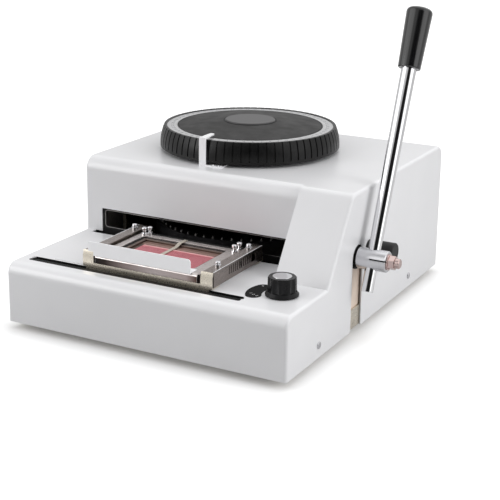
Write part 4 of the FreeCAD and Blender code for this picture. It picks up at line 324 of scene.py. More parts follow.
def add_node(tree, kind, values=None, links=None, **settings):
    """Adds a node with its settings, its socket values and the sockets that feed it."""
    node = tree.nodes.new(kind)
    for name, value in settings.items():
        setattr(node, name, value)
    for name, value in (values or {}).items():
        node.inputs[name].default_value = value
    for name, socket in (links or {}).items():
        tree.links.new(socket, node.inputs[name])
    return node


def new_material(name, colour, metallic, roughness, more=None):
    """A material with only its Principled shader and output, and that shader's tree."""
    material = bpy.data.materials.new(name)
    material.use_nodes = True
    tree = material.node_tree
    tree.nodes.clear()
    values = {"Base Color": colour, "Metallic": metallic, "Roughness": roughness, **(more or {})}
    shader = add_node(tree, "ShaderNodeBsdfPrincipled", values)
    add_node(tree, "ShaderNodeOutputMaterial", links={"Surface": shader.outputs["BSDF"]})
    return material, tree, shader


def object_noise(tree, size_mm, detail, stretch=(1, 1, 1)):
    """Noise on the object's own coordinates, squeezed along each axis by its stretch."""
    place = add_node(tree, "ShaderNodeTexCoord")
    moved = add_node(
        tree, "ShaderNodeMapping", {"Scale": stretch}, {"Vector": place.outputs["Object"]}
    )
    noise = add_node(
        tree, "ShaderNodeTexNoise", {"Scale": per_mm(size_mm), "Detail": detail},
        {"Vector": moved.outputs["Vector"]},
    )
    return noise.outputs["Fac"]


def dial_rings(tree, ring_mm):
    """Noise that changes only with the distance from the dial's axis, as turning marks do."""
    place = add_node(tree, "ShaderNodeTexCoord")
    moved = add_node(
        tree, "ShaderNodeMapping", {"Location": (-DIAL_AT.x, -DIAL_AT.y, 0), "Scale": (1, 1, 0)},
        {"Vector": place.outputs["Object"]},
    )
    radius = add_node(
        tree, "ShaderNodeVectorMath", links={0: moved.outputs["Vector"]}, operation="LENGTH"
    )
    noise = add_node(
        tree, "ShaderNodeTexNoise", {"Scale": per_mm(ring_mm), "Detail": 3.0},
        {"W": radius.outputs["Value"]}, noise_dimensions="1D",
    )
    return noise.outputs["Fac"]


def vary_colour(tree, shader, fac, low, high):
    """The base colour times low where the noise is low, up to times high where it is high."""
    colour = shader.inputs["Base Color"].default_value
    ramp = add_node(tree, "ShaderNodeValToRGB", links={"Fac": fac})
    ends = zip(ramp.color_ramp.elements, (NOISE_LOW, NOISE_HIGH), (low, high))
    for stop, position, share in ends:
        stop.position = position
        stop.color = (*[min(channel * share, 1) for channel in colour[:3]], 1)
    tree.links.new(ramp.outputs["Color"], shader.inputs["Base Color"])


def vary_roughness(tree, shader, fac, low, high):
    """Roughness from low to high, following the noise."""
    spread = add_node(
        tree, "ShaderNodeMapRange",
        {"From Min": NOISE_LOW, "From Max": NOISE_HIGH, "To Min": low, "To Max": high},
        {"Value": fac},
    )
    tree.links.new(spread.outputs["Result"], shader.inputs["Roughness"])


def add_bump(tree, shader, fac, height_mm):
    """Relief as high as that where the noise is 1."""
    bump = add_node(tree, "ShaderNodeBump", {"Distance": height_mm * MM}, {"Height": fac})
    tree.links.new(bump.outputs["Normal"], shader.inputs["Normal"])


# Real turning marks, rolling lines, grain and pores are 0.05 to 0.2 mm apart. Below they are
# drawn 0.35 to 0.9 mm apart, as coarse as they need to be to show.


def casing_enamel():
    """Baked enamel sprayed on sheet steel: a soft sheen with a faint orange peel."""
    material, tree, shader = new_material(
        "Baked enamel, light grey", colours().enamel, 0.0, 0.3,
        {"Coat Weight": 0.25, "Coat Roughness": 0.12},
    )
    add_bump(tree, shader, object_noise(tree, 2.2, detail=1.5), 0.005)
    vary_colour(tree, shader, object_noise(tree, 60, detail=3), 0.985, 1.015)
    return material


def white_enamel():
    """White stove enamel on thin sheet: brighter and smoother than the casing."""
    material, tree, shader = new_material(
        "Stove enamel, white", colours().white_enamel, 0.0, 0.28,
        {"Coat Weight": 0.3, "Coat Roughness": 0.1},
    )
    add_bump(tree, shader, object_noise(tree, 1.8, detail=1.5), 0.005)
    vary_colour(tree, shader, object_noise(tree, 20, detail=3), 0.98, 1.01)
    return material


def moulded_black():
    """Moulded ABS with a spark-eroded grain: black that greys softly where light grazes it."""
    material, tree, shader = new_material(
        "ABS, moulded black", colours().black_plastic, 0.0, 0.45, {"Specular IOR Level": 0.28}
    )
    add_bump(tree, shader, object_noise(tree, 0.5, detail=3), 0.03)
    vary_colour(tree, shader, object_noise(tree, 14, detail=4), 0.85, 1.2)
    vary_roughness(tree, shader, object_noise(tree, 6, detail=4), 0.28, 0.4)
    return material


def glossy_black():
    """Polished moulding: deep black with crisp highlights."""
    material, tree, shader = new_material(
        "Phenolic, moulded glossy black", colours().grip_black, 0.0, 0.14,
        {"Coat Weight": 0.5, "Coat Roughness": 0.06},
    )
    add_bump(tree, shader, object_noise(tree, 9, detail=2), 0.04)
    vary_roughness(tree, shader, object_noise(tree, 12, detail=4), 0.1, 0.2)
    return material


def knob_black():
    """Polished moulding of the knob: nearly black, with thin highlights on its flutes."""
    material, tree, shader = new_material(
        "Phenolic, moulded black knob", colours().grip_black, 0.0, 0.22,
        {"Specular IOR Level": 0.22},
    )
    vary_roughness(tree, shader, object_noise(tree, 5, detail=3), 0.16, 0.28)
    return material


# This black is printed ink on the label and painted shade in the front slot
def black_print_and_shade():
    """Screen-printed black ink on a thin plate: matt, hardly any sheen even at a low angle."""
    material, tree, shader = new_material(
        "Black ink, and painted shade", colours().black_oxide, 0.0, 0.6, {"Specular IOR Level": 0.12}
    )
    vary_colour(tree, shader, object_noise(tree, 6, detail=3), 0.8, 1.4)
    return material


def dial_black():
    """Anodised black aluminium, turned: fine rings and a dull sheen."""
    material, tree, shader = new_material(
        "Aluminium, anodised black", colours().dial_black, 0.0, 0.5, {"Specular IOR Level": 0.28}
    )
    rings = dial_rings(tree, 0.9)
    add_bump(tree, shader, rings, 0.01)
    vary_colour(tree, shader, rings, 0.92, 1.08)
    vary_roughness(tree, shader, object_noise(tree, 18, detail=4), 0.45, 0.58)
    return material


def satin_disc():
    """Aluminium disc, turned and anodised dark grey: lighter than the face round it."""
    material, tree, shader = new_material(
        "Aluminium, anodised grey", colours().disc_grey, 0.3, 0.4
    )
    rings = dial_rings(tree, 0.7)
    add_bump(tree, shader, rings, 0.012)
    vary_colour(tree, shader, rings, 0.93, 1.07)
    return material


def spun_aluminium():
    """Clear anodised aluminium, spun: bright, with fine turning rings."""
    material, tree, shader = new_material(
        "Aluminium, spun dial ring", colours().aluminium, 0.9, 0.32
    )
    rings = dial_rings(tree, 0.5)
    add_bump(tree, shader, rings, 0.01)
    vary_roughness(tree, shader, rings, 0.26, 0.4)
    vary_colour(tree, shader, rings, 0.93, 1.04)
    return material


def zinc_steel():
    """Steel sheet with yellowish zinc plating: warm, softly mottled metal."""
    material, tree, shader = new_material("Steel, zinc plated", colours().zinc, 1.0, 0.3)
    cloud = object_noise(tree, 22, detail=3, stretch=(1, 1, 1.6))
    vary_colour(tree, shader, cloud, 0.9, 1.06)
    vary_roughness(tree, shader, object_noise(tree, 1.5, detail=4), 0.24, 0.36)
    add_bump(tree, shader, object_noise(tree, 0.8, detail=3, stretch=(0.1, 1, 1)), 0.008)
    return material


def warm_plate():
    """Passivated zinc sheet behind the slot in the side: a pale peach with a soft sheen."""
    material, tree, shader = new_material("Steel, zinc passivated", colours().peach, 0.35, 0.38)
    vary_colour(tree, shader, object_noise(tree, 26, detail=3), 0.9, 1.05)
    vary_roughness(tree, shader, object_noise(tree, 3, detail=3), 0.32, 0.46)
    return material


def brushed_steel():
    """Bright drawn steel bar: fine lines along Y, brownish where it mirrors the dark room."""
    material, tree, shader = new_material(
        "Steel, brushed along the bar", colours().bar_steel, 1.0, 0.3
    )
    lines = object_noise(tree, 0.35, detail=3, stretch=(1, 0.03, 1))
    vary_roughness(tree, shader, lines, 0.22, 0.38)
    vary_colour(tree, shader, lines, 0.88, 1.06)
    add_bump(tree, shader, lines, 0.01)
    return material


def rolled_sheet():
    """Bright cold-rolled steel sheet: a satin mirror with faint lines from the rollers."""
    material, tree, shader = new_material("Steel, cold rolled", colours().holder_steel, 1.0, 0.3)
    lines = object_noise(tree, 0.6, detail=3, stretch=(0.06, 1, 1))
    vary_roughness(tree, shader, lines, 0.24, 0.36)
    vary_colour(tree, shader, object_noise(tree, 18, detail=3), 0.94, 1.04)
    add_bump(tree, shader, lines, 0.008)
    return material


def edge_highlight_steel():
    """Polished steel, as strips that paint the highlight on the bars' top edges: a bright line
    wherever light grazes it.
    """
    material, tree, shader = new_material("Steel, painted edge highlight", colours().chrome, 0.4, 0.35)
    vary_roughness(tree, shader, object_noise(tree, 5, detail=3), 0.28, 0.4)
    return material


def ribs_painted_light():
    """Browned sheet drawn lighter and pinker than the tray: painted light on the ribs and a painted
    reflection of the rose tag; a dull pinkish brown.
    """
    material, tree, shader = new_material(
        "Steel, painted light on browned ribs", colours().rosy_painted_light, 0.7, 0.4
    )
    cloud = object_noise(tree, 12, detail=3, stretch=(0.3, 1, 1))
    vary_colour(tree, shader, cloud, 0.85, 1.15)
    return material


def tag_fold_highlight_finish():
    """Rose anodised aluminium where it is folded up, with a painted highlight: a pale line."""
    material, tree, shader = new_material(
        "Aluminium, rose anodised fold, painted highlight", colours().tag_fold_highlight, 0.3, 0.4
    )
    vary_colour(tree, shader, object_noise(tree, 9, detail=3), 0.94, 1.05)
    return material


def flange_painted_shade():
    """Rolled sheet with the shade of the handle painted on: black at the left end, then pinkish
    grey.
    """
    material, tree, shader = new_material("Steel, rolled, painted shade", colours().rosy_painted_light, 0.6, 0.4)
    place = add_node(tree, "ShaderNodeTexCoord")
    axis = add_node(tree, "ShaderNodeSeparateXYZ", links={0: place.outputs["Object"]})
    left, right = (at(*corner).x for corner in FRONT_FLANGE)
    along = add_node(
        tree, "ShaderNodeMapRange", {"From Min": left, "From Max": right},
        {"Value": axis.outputs["X"]},
    )
    ramp = add_node(tree, "ShaderNodeValToRGB", links={"Fac": along.outputs["Result"]})
    stops = ramp.color_ramp.elements
    for position, _ in FLANGE_PAINTED_SHADE[1:-1]:
        stops.new(position)
    for stop, (_, shade) in zip(stops, FLANGE_PAINTED_SHADE):
        stop.color = linear(shade)
    tree.links.new(ramp.outputs["Color"], shader.inputs["Base Color"])
    return material


def browned_sheet_and_shade():
    """Browned steel sheet, darkened further as painted shade inside the holder: dark, warm metal
    with a dull sheen.
    """
    material, tree, shader = new_material("Steel, browned, painted shade", colours().tray_steel_and_shade, 0.85, 0.4)
    cloud = object_noise(tree, 10, detail=4, stretch=(0.3, 1, 1))
    vary_colour(tree, shader, cloud, 0.75, 1.2)
    vary_roughness(tree, shader, cloud, 0.34, 0.48)
    return material


def mild_steel():
    """Milled mild steel inside the machine: cool grey with tool marks."""
    material, tree, shader = new_material("Steel, milled", colours().steel, 1.0, 0.36)
    marks = object_noise(tree, 0.7, detail=3, stretch=(1, 1, 0.08))
    vary_roughness(tree, shader, marks, 0.28, 0.46)
    vary_colour(tree, shader, object_noise(tree, 15, detail=3), 0.86, 1.05)
    add_bump(tree, shader, marks, 0.01)
    return material


def chrome_plate():
    """Chromium plating on polished steel: a clean mirror with hardly any haze."""
    material, tree, shader = new_material("Steel, chromium plated", colours().chrome, 1.0, 0.05)
    vary_roughness(tree, shader, object_noise(tree, 10, detail=4), 0.03, 0.09)
    add_bump(tree, shader, object_noise(tree, 14, detail=1), 0.01)
    return material


def satin_chrome():
    """Chromium plating on a turned part: a mirror with a soft haze."""
    material, tree, shader = new_material(
        "Steel, satin chromium", colours().satin_chrome, 1.0, 0.2
    )
    lines = object_noise(tree, 0.4, detail=3, stretch=(1, 0.05, 0.05))
    vary_roughness(tree, shader, lines, 0.16, 0.27)
    add_bump(tree, shader, lines, 0.006)
    return material


def polished_nickel():
    """Nickel plating: a mirror with a warm, slightly rosy cast."""
    material, tree, shader = new_material("Steel, nickel plated", colours().nickel, 1.0, 0.12)
    vary_roughness(tree, shader, object_noise(tree, 4, detail=4), 0.08, 0.2)
    return material


# Besides real blackened sheet, this black paints shade: the dial's dark rings, the hub's slit, the
# holder's window edges and its rear strip
def black_oxide():
    """Blackened sheet steel: nearly lightless, with a faint dull sheen."""
    material, tree, shader = new_material(
        "Steel, black oxide, and painted shade", colours().black_oxide, 0.0, 0.55, {"Specular IOR Level": 0.2}
    )
    vary_colour(tree, shader, object_noise(tree, 12, detail=4), 0.7, 1.3)
    vary_roughness(tree, shader, object_noise(tree, 3, detail=4), 0.45, 0.65)
    return material


def cast_wheel():
    """Grey cast iron, machined: dark metal with turning marks."""
    material, tree, shader = new_material("Cast iron, turned", colours().cast_iron, 1.0, 0.42)
    rings = dial_rings(tree, 0.8)
    vary_roughness(tree, shader, rings, 0.34, 0.5)
    vary_colour(tree, shader, object_noise(tree, 9, detail=4), 0.85, 1.1)
    add_bump(tree, shader, rings, 0.01)
    return material


def punch_steel():
    """Hardened tool steel: dark grey with brighter worn patches."""
    material, tree, shader = new_material("Tool steel, hardened", colours().steel, 1.0, 0.28)
    vary_colour(tree, shader, object_noise(tree, 5, detail=3), 0.7, 1.0)
    vary_roughness(tree, shader, object_noise(tree, 2, detail=3), 0.22, 0.36)
    return material


def bronze():
    """Sintered bronze: a matt brownish metal with tiny pores."""
    material, tree, shader = new_material("Bronze, sintered", colours().bronze, 1.0, 0.45)
    pores = object_noise(tree, 0.6, detail=4)
    vary_colour(tree, shader, pores, 0.8, 1.1)
    add_bump(tree, shader, pores, 0.03)
    return material


def moulded_rubber():
    """Moulded rubber: matt black with a faint bloom."""
    material, tree, shader = new_material("Rubber, moulded", colours().rubber, 0.0, 0.6)
    vary_colour(tree, shader, object_noise(tree, 8, detail=4), 0.8, 1.25)
    add_bump(tree, shader, object_noise(tree, 0.9, detail=3), 0.04)
    return material


def anodised_tag():
    """Aluminium sheet, rose anodised: coloured metal with fine rolling lines."""
    material, tree, shader = new_material("Aluminium, rose anodised", colours().tag_rose, 0.75, 0.3)
    lines = object_noise(tree, 0.5, detail=3, stretch=(0.04, 1, 1))
    vary_roughness(tree, shader, lines, 0.24, 0.38)
    vary_colour(tree, shader, lines, 0.93, 1.05)
    return material


def printed_white():
    """Screen-printed white ink: slightly uneven cover."""
    material, tree, shader = new_material("Ink, printed white", colours().mark_white, 0.0, 0.5)
    vary_colour(tree, shader, object_noise(tree, 1.5, detail=3), 0.9, 1.02)
    return material


def engraved_grey():
    """Paint in engraved figures: a dull grey, thinner in places."""
    material, tree, shader = new_material("Paint, engraved fill", colours().mark_grey, 0.0, 0.6)
    vary_colour(tree, shader, object_noise(tree, 1.5, detail=3), 0.85, 1.15)
    return material


FINISHES = {
    "casing_paint": casing_enamel,
    "handle_paint": white_enamel,
    "black_plastic": moulded_black,
    "grip_plastic": glossy_black,
    "dial_face": dial_black,
    "satin_disc": satin_disc,
    "spun_aluminium": spun_aluminium,
    "zinc_steel": zinc_steel,
    "brushed_steel": brushed_steel,
    "frame_steel": mild_steel,
    "chrome": chrome_plate,
    "bolt_nickel": polished_nickel,
    "black_oxide": black_oxide,
    "cast_wheel": cast_wheel,
    "punch_steel": punch_steel,
    "bronze": bronze,
    "rubber": moulded_rubber,
    "tag_finish": anodised_tag,
}
finishes_made = {}


def finish_of(make):
    """The material that a finish function makes, made once."""
    if make not in finishes_made:
        finishes_made[make] = make()
    return finishes_made[make]


def paint(piece, slot, make=None):
    """Gives a piece the finish of a material slot, or a closer variant of it."""
    piece.data.materials.clear()
    piece.data.materials.append(finish_of(make or FINISHES[slot]))


def deselect():
    bpy.ops.object.select_all(action="DESELECT")


def pick(piece):
    """Selects one piece alone and makes it active."""
    deselect()
    piece.select_set(True)
    bpy.context.view_layer.objects.active = piece


def settle():
    """Puts the place, turn and size of what is selected into its mesh."""
    bpy.ops.object.transform_apply(location=True, rotation=True, scale=True)


def apply_modifier(piece, kind, **settings):
    """Adds a modifier with its settings and applies it."""
    pick(piece)
    modifier = piece.modifiers.new(kind.title(), kind)
    for name, value in settings.items():
        setattr(modifier, name, value)
    bpy.ops.object.modifier_apply(modifier=modifier.name)


def soften(piece, edge=0.0, crisp=CRISP):
    """Rounds the sharp edges by a small bevel and shades the curves smooth."""
    if edge > 0:
        apply_modifier(
            piece, "BEVEL", width=edge, segments=BEVEL_STEPS, limit_method="ANGLE",
            angle_limit=math.radians(crisp), use_clamp_overlap=True, miter_outer="MITER_ARC",
        )
    pick(piece)
    bpy.ops.object.shade_smooth_by_angle(angle=math.radians(crisp))
    apply_modifier(piece, "WEIGHTED_NORMAL", keep_sharp=True, weight=FACE_WEIGHT)


def dressed(node, name, edge=0.0, crisp=CRISP, make=None):
    """A merged copy of a node of the model, softened and painted, that stands for it."""
    piece = bpy.data.objects.new(name, frame["nodes"][node].data.copy())
    bpy.context.scene.collection.objects.link(piece)
    pick(piece)
    bpy.ops.mesh.customdata_custom_splitnormals_clear()
    bpy.ops.object.mode_set(mode="EDIT")
    bpy.ops.mesh.select_all(action="SELECT")
    bpy.ops.mesh.remove_doubles(threshold=MERGE)
    bpy.ops.mesh.dissolve_limited(angle_limit=math.radians(FLAT))
    bpy.ops.object.mode_set(mode="OBJECT")
    soften(piece, edge, crisp)
    paint(piece, SLOT_OF[node], make)
    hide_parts(node)
    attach(piece, BODY_OF[node])
    return piece


def added(piece, name, slot, body, edge=0.0, make=None):
    """Names, softens and paints a new piece, and lets it ride on a body."""
    piece.name = name
    piece.data.name = name
    soften(piece, edge)
    paint(piece, slot, make)
    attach(piece, body)
    return piece


def joined(pieces):
    """Several meshes made one."""
    deselect()
    for piece in pieces:
        piece.select_set(True)
    bpy.context.view_layer.objects.active = pieces[0]
    bpy.ops.object.join()
    return bpy.context.object


def block(low, high):
    """A box between two corners in millimetres from the datum."""
    low, high = at(*low), at(*high)
    deselect()
    bpy.ops.mesh.primitive_cube_add(size=1, location=(low + high) / 2, scale=high - low)
    settle()
    return bpy.context.object


def blocks(boxes):
    """Several boxes as one mesh."""
    return joined([block(*box) for box in boxes])


def round_edges(piece, axis, radius_mm):
    """Rounds the edges of a block that run along one axis."""
    deselect()
    bpy.context.view_layer.objects.active = piece
    bpy.ops.object.mode_set(mode="EDIT")
    bpy.ops.mesh.select_mode(type="EDGE")
    bpy.ops.mesh.select_all(action="DESELECT")
    bpy.ops.object.mode_set(mode="OBJECT")
    for edge in piece.data.edges:
        first, second = (piece.data.vertices[index].co for index in edge.vertices)
        step = [abs(first[i] - second[i]) for i in range(3)]
        edge.select = step[axis] > MERGE and sum(step) - step[axis] < MERGE
    bpy.ops.object.mode_set(mode="EDIT")
    bpy.ops.mesh.bevel(offset=radius_mm * MM, segments=CORNER_STEPS, affect="EDGES")
    bpy.ops.mesh.select_all(action="DESELECT")
    bpy.ops.object.mode_set(mode="OBJECT")


def dial_band(height, inner, outer, thick):
    """A flat ring about the dial's axis, thick upwards from a height, in millimetres."""
    deselect()
    bpy.ops.mesh.primitive_circle_add(
        vertices=RING_STEPS, radius=outer * MM, fill_type="NOTHING",
        location=at(*DIAL_CENTRE, height),
    )
    piece = bpy.context.object
    bpy.ops.object.mode_set(mode="EDIT")
    bpy.ops.mesh.select_all(action="SELECT")
    bpy.ops.mesh.extrude_edges_move()
    share = inner / outer
    bpy.ops.transform.resize(value=(share, share, 1))
    bpy.ops.mesh.select_all(action="SELECT")
    bpy.ops.mesh.normals_make_consistent(inside=False)
    bpy.ops.object.mode_set(mode="OBJECT")
    settle()
    upwards = piece.data.polygons[0].normal.z > 0
    apply_modifier(piece, "SOLIDIFY", thickness=thick * MM, offset=1.0 if upwards else -1.0)
    return piece


def figures(text, place, size, turn=0.0):
    """Flat printed figures as a mesh, standing up by the relief of a mark."""
    deselect()
    bpy.ops.object.text_add(location=place, rotation=(0, 0, turn))
    piece = bpy.context.object
    piece.data.body = text
    piece.data.size = size
    piece.data.align_x = "CENTER"
    piece.data.align_y = "CENTER"
    piece.data.resolution_u = FIGURE_STEPS
    piece.data.extrude = sizes().mark_relief
    bpy.ops.object.convert(target="MESH")
    settle()
    return bpy.context.object


class EMBOSSER_OT_works(Operator):
    """Give every node of the model the finish of its material slot"""

    bl_idname = "embosser.works"
    bl_label = "Inner works"

    def execute(self, context):
        for node, piece in frame["nodes"].items():
            piece.data.materials.clear()
            piece.data.materials.append(finish_of(FINISHES[SLOT_OF[node]]))
        return {"FINISHED"}


class EMBOSSER_OT_casing(Operator):
    """Dress the enamelled casing, the base, the feet and the sheets"""

    bl_idname = "embosser.casing"
    bl_label = "Casing"

    def execute(self, context):
        sheet, part = sizes().sheet_edge, sizes().part_edge
        dressed("casing_shell", "casing_skin", crisp=30)
        dressed("deck_plate", "deck_sheet", sheet)
        dressed("base_plate", "base_tray", sheet)
        dressed("rubber_feet", "feet", part)
        dressed("side_screws", "casing_screws", make=satin_chrome)
        dressed("right_frame_plate", "right_frame", sheet, make=warm_plate)
        dressed("shroud_panel", "bay_shroud")
        self.add_window_edge()
        self.add_slot_shade()
        return {"FINISHED"}

    def add_window_edge(self):
        """The bright cut edge all round the window of the black shroud."""
        rim = block(*BAY_WINDOW)
        round_edges(rim, Y_AXIS, BAY_WINDOW_CORNER)
        for face in rim.data.polygons:
            face.select = abs(face.normal.y) > FACING
        bpy.ops.object.mode_set(mode="EDIT")
        bpy.ops.mesh.delete(type="FACE")
        bpy.ops.object.mode_set(mode="OBJECT")
        apply_modifier(rim, "SOLIDIFY", thickness=sizes().cut_edge, offset=-1.0)
        added(rim, "window_cut_edge", "frame_steel", "root")

    def add_slot_shade(self):
        """Black sheets that paint the shade under and behind the front slot, and a thin lip of
        painted shade along its front.
        """
        under, behind = block(*SLOT_SHADE_UNDER), block(*SLOT_SHADE_BEHIND)
        lip = block(*SLOT_SHADE_LIP)
        round_edges(lip, Z_AXIS, SLOT_SHADE_CORNER)
        shade_block = joined([under, behind, lip])
        added(shade_block, "front_slot_painted_shade", "black_plastic", "root", make=black_print_and_shade)


class EMBOSSER_OT_dial(Operator):
    """Dress the dial, its ring, face and disc, and the pointer beside it"""

    bl_idname = "embosser.dial"
    bl_label = "Dial"

    def execute(self, context):
        sheet, part = sizes().sheet_edge, sizes().part_edge
        dressed("dial_skirt", "dial_grip_ring", crisp=40)
        dressed("dial_ring", "dial_scale_ring", part)
        dressed("dial_face", "dial_cone", crisp=40)
        dressed("dial_disc", "dial_centre_disc", part)
        dressed("pointer_bracket", "pointer_strip", sheet)
        dressed("pointer_screws", "pointer_strip_screws", part, make=chrome_plate)
        # Black rings that paint the shade round the disc and along the inside of the scale ring
        shade_ring = dial_band(*DISC_SHADE_RING)
        added(shade_ring, "disc_painted_shade", "black_plastic", "dial", make=black_oxide)
        shade_ring = dial_band(*RING_SHADE_RING)
        added(shade_ring, "ring_painted_shade", "black_plastic", "dial", make=black_oxide)
        self.add_scale()
        return {"FINISHED"}

    def add_scale(self):
        """The figures round the ring, from 1 in front, each with its foot towards the rim."""
        marks = []
        for mark in range(sizes().scale_marks):
            turn = mark * math.tau / sizes().scale_marks
            spoke = Vector((math.sin(turn), -math.cos(turn), 0))
            place = at(*DIAL_CENTRE, RING_TOP) + FIGURE_RADIUS * MM * spoke
            marks.append(figures(str(mark + 1), place, sizes().figure_height, turn))
        added(joined(marks), "dial_figures", "dial_face", "dial", make=engraved_grey)


class EMBOSSER_OT_lever(Operator):
    """Dress the lever with its grip, hub and bolt, and the stop behind it"""

    bl_idname = "embosser.lever"
    bl_label = "Lever"

    def execute(self, context):
        part = sizes().part_edge
        dressed("lever_rod", "lever_tube", part)
        dressed("lever_hub", "lever_clamp", part, make=satin_chrome)
        dressed("lever_collar", "lever_washer", part)
        dressed("lever_grip", "lever_handle")
        dressed("lever_bolt", "lever_end_bolt", part)
        dressed("stop_bumper", "lever_stop", part)
        # A black block inside the clamping slit paints the shade in it
        lean = math.radians(LEVER_LEAN)
        x, y, z = HUB_AT
        deselect()
        bpy.ops.mesh.primitive_cube_add(
            size=1, location=at(x, y - SLIT_OFF * math.cos(lean), z + SLIT_OFF * math.sin(lean)),
            rotation=(-lean, 0, 0), scale=Vector(SLIT_SIZE) * MM,
        )
        settle()
        added(bpy.context.object, "clamp_slit_painted_shade", "black_oxide", "lever")
        return {"FINISHED"}


class EMBOSSER_OT_knob(Operator):
    """Dress the selector knob, its cap and its label"""

    bl_idname = "embosser.knob"
    bl_label = "Selector knob"

    def execute(self, context):
        part = sizes().part_edge
        dressed("selector_knob", "knob_body", part, make=knob_black)
        dressed("knob_cap", "knob_disc", part, make=chrome_plate)
        dressed("knob_label", "knob_scale_label", make=black_print_and_shade)
        scale = joined([
            figures(text, at(*place), height * MM, turn)
            for text, place, height, turn in LABEL_FIGURES
        ])
        added(scale, "label_figures", "black_plastic", "root", make=printed_white)
        return {"FINISHED"}


class EMBOSSER_OT_carriage(Operator):
    """Dress the carriage that slides sideways"""

    bl_idname = "embosser.carriage"
    bl_label = "Carriage"

    def execute(self, context):
        sheet = sizes().sheet_edge
        dressed("carriage_front_bracket", "carriage_front", sheet)
        dressed("carriage_rear_bracket", "carriage_rear", sheet)
        dressed("left_slide_bar", "left_bar", sheet)
        dressed("right_slide_bar", "right_bar", sheet)
        dressed("carriage_studs", "bar_studs", crisp=50)
        # Painted highlights along the bars' outer top edges
        added(blocks(BAR_EDGE_HIGHLIGHTS), "bar_edge_highlights", "chrome", "carriage", make=edge_highlight_steel)
        return {"FINISHED"}


class EMBOSSER_OT_holder(Operator):
    """Dress the tag holder that slides to and fro"""

    bl_idname = "embosser.holder"
    bl_label = "Tag holder"

    def execute(self, context):
        sheet, trim = sizes().sheet_edge, sizes().trim_edge
        dressed("holder_frame", "holder_sheet", sheet, make=rolled_sheet)
        dressed("holder_runners", "holder_rails", sheet)
        dressed("holder_tray", "holder_bed", sheet, make=browned_sheet_and_shade)
        dressed("tag_plate", "tag_blank", sheet)
        dressed("handle_plate", "holder_handle", sheet)
        dressed("divider_clip", "holder_clip", sheet)
        dressed("holder_studs", "frame_studs", crisp=50)
        # Painted shade: a black strip along the holder's rear
        shade_block = block(*REAR_SHADE)
        added(shade_block, "rear_painted_shade", "black_plastic", "holder", trim, black_oxide)
        # Painted shadow under the edges of the holder's window
        shadow_strips = blocks(WINDOW_SHADOW)
        added(shadow_strips, "window_painted_shadow", "black_plastic", "holder", make=black_oxide)
        # The ribs take a lighter, pinkish copy of the browned sheet as painted light
        ribs = blocks(TRAY_RIBS)
        added(ribs, "tray_ribs", "zinc_steel", "holder", sizes().rib_edge, ribs_painted_light)
        # Painted highlight: a pale line along the tag's folded rear edge
        added(block(*TAG_FOLD), "tag_fold_highlight", "tag_finish", "holder", trim, tag_fold_highlight_finish)
        # A sheet on the holder's front flange that carries its painted shade
        flange = block(*FRONT_FLANGE)
        added(flange, "front_flange_painted_shade", "zinc_steel", "holder", sizes().flange_edge, flange_painted_shade)
        return {"FINISHED"}


def floor_shadow_fade(tree, reach, least):
    """How clear of the casing's footprint a floor point is: least at its edge, 1 from reach on; it
    sets the painted shadow round the casing.
    """
    corners = [Vector(corner) for corner in frame["nodes"]["casing_shell"].bound_box]
    low, high = ([edge(c[i] for c in corners) for i in (0, 1)] for edge in (min, max))
    half = [(b - a) / 2 for a, b in zip(low, high)]
    middle = [(b + a) / 2 for a, b in zip(low, high)]
    point = add_node(tree, "ShaderNodeTexCoord").outputs["Object"]
    for operation, other in (
        ("SUBTRACT", (*middle, 0)), ("ABSOLUTE", None), ("SUBTRACT", (*half, 0)),
        ("MAXIMUM", (0, 0, 0)),
    ):
        values = {1: other} if other else {}
        point = add_node(
            tree, "ShaderNodeVectorMath", values, {0: point}, operation=operation
        ).outputs["Vector"]
    length = add_node(tree, "ShaderNodeVectorMath", links={0: point}, operation="LENGTH")
    clear = add_node(
        tree, "ShaderNodeMapRange", {"From Max": reach, "To Min": least},
        {"Value": length.outputs["Value"]}, interpolation_type="SMOOTHSTEP",
    )
    return clear.outputs["Result"]


def add_floor():
    """A pale floor that is white to the eye away from the object and keeps its shadow, with a
    painted shadow where its glow fades near the casing.
    """
    studio = studio_values()
    bpy.ops.mesh.primitive_grid_add(
        x_subdivisions=FLOOR_STEPS, y_subdivisions=FLOOR_STEPS, size=studio.floor_size,
        location=(0, 0, 0),
    )
    floor = bpy.context.object
    floor.name = "studio_floor"
    material, tree, shader = new_material(
        "Backdrop paper, pale", colours().floor_white, 0.0, 0.9,
        {"Emission Color": (1, 1, 1, 1)},
    )
    path = add_node(tree, "ShaderNodeLightPath")
    seen = path.outputs["Is Camera Ray"]
    mirrored = add_node(
        tree, "ShaderNodeMix", {"A": colours().floor_bounce, "B": colours().floor_mirror},
        {"Factor": path.outputs["Is Glossy Ray"]}, data_type="RGBA",
    )
    tint = add_node(
        tree, "ShaderNodeMix", {"B": colours().floor_white},
        {"Factor": seen, "A": mirrored.outputs["Result"]}, data_type="RGBA",
    )
    tree.links.new(tint.outputs["Result"], shader.inputs["Base Color"])
    # Painted shadow: the floor's glow fades towards the casing
    clear = floor_shadow_fade(tree, studio.shadow_reach, studio.shadow_share)
    glow = add_node(
        tree, "ShaderNodeMath", {1: studio.floor_glow}, {0: seen}, operation="MULTIPLY"
    )
    grown = add_node(
        tree, "ShaderNodeMath", links={0: glow.outputs[0], 1: clear}, operation="MULTIPLY"
    )
    tree.links.new(grown.outputs[0], shader.inputs["Emission Strength"])
    floor.data.materials.append(material)


def direction(azimuth, elevation):
    """The direction at an azimuth from the front towards the right and a height angle."""
    return Vector((
        math.sin(azimuth) * math.cos(elevation),
        -math.cos(azimuth) * math.cos(elevation),
        math.sin(elevation),
    ))


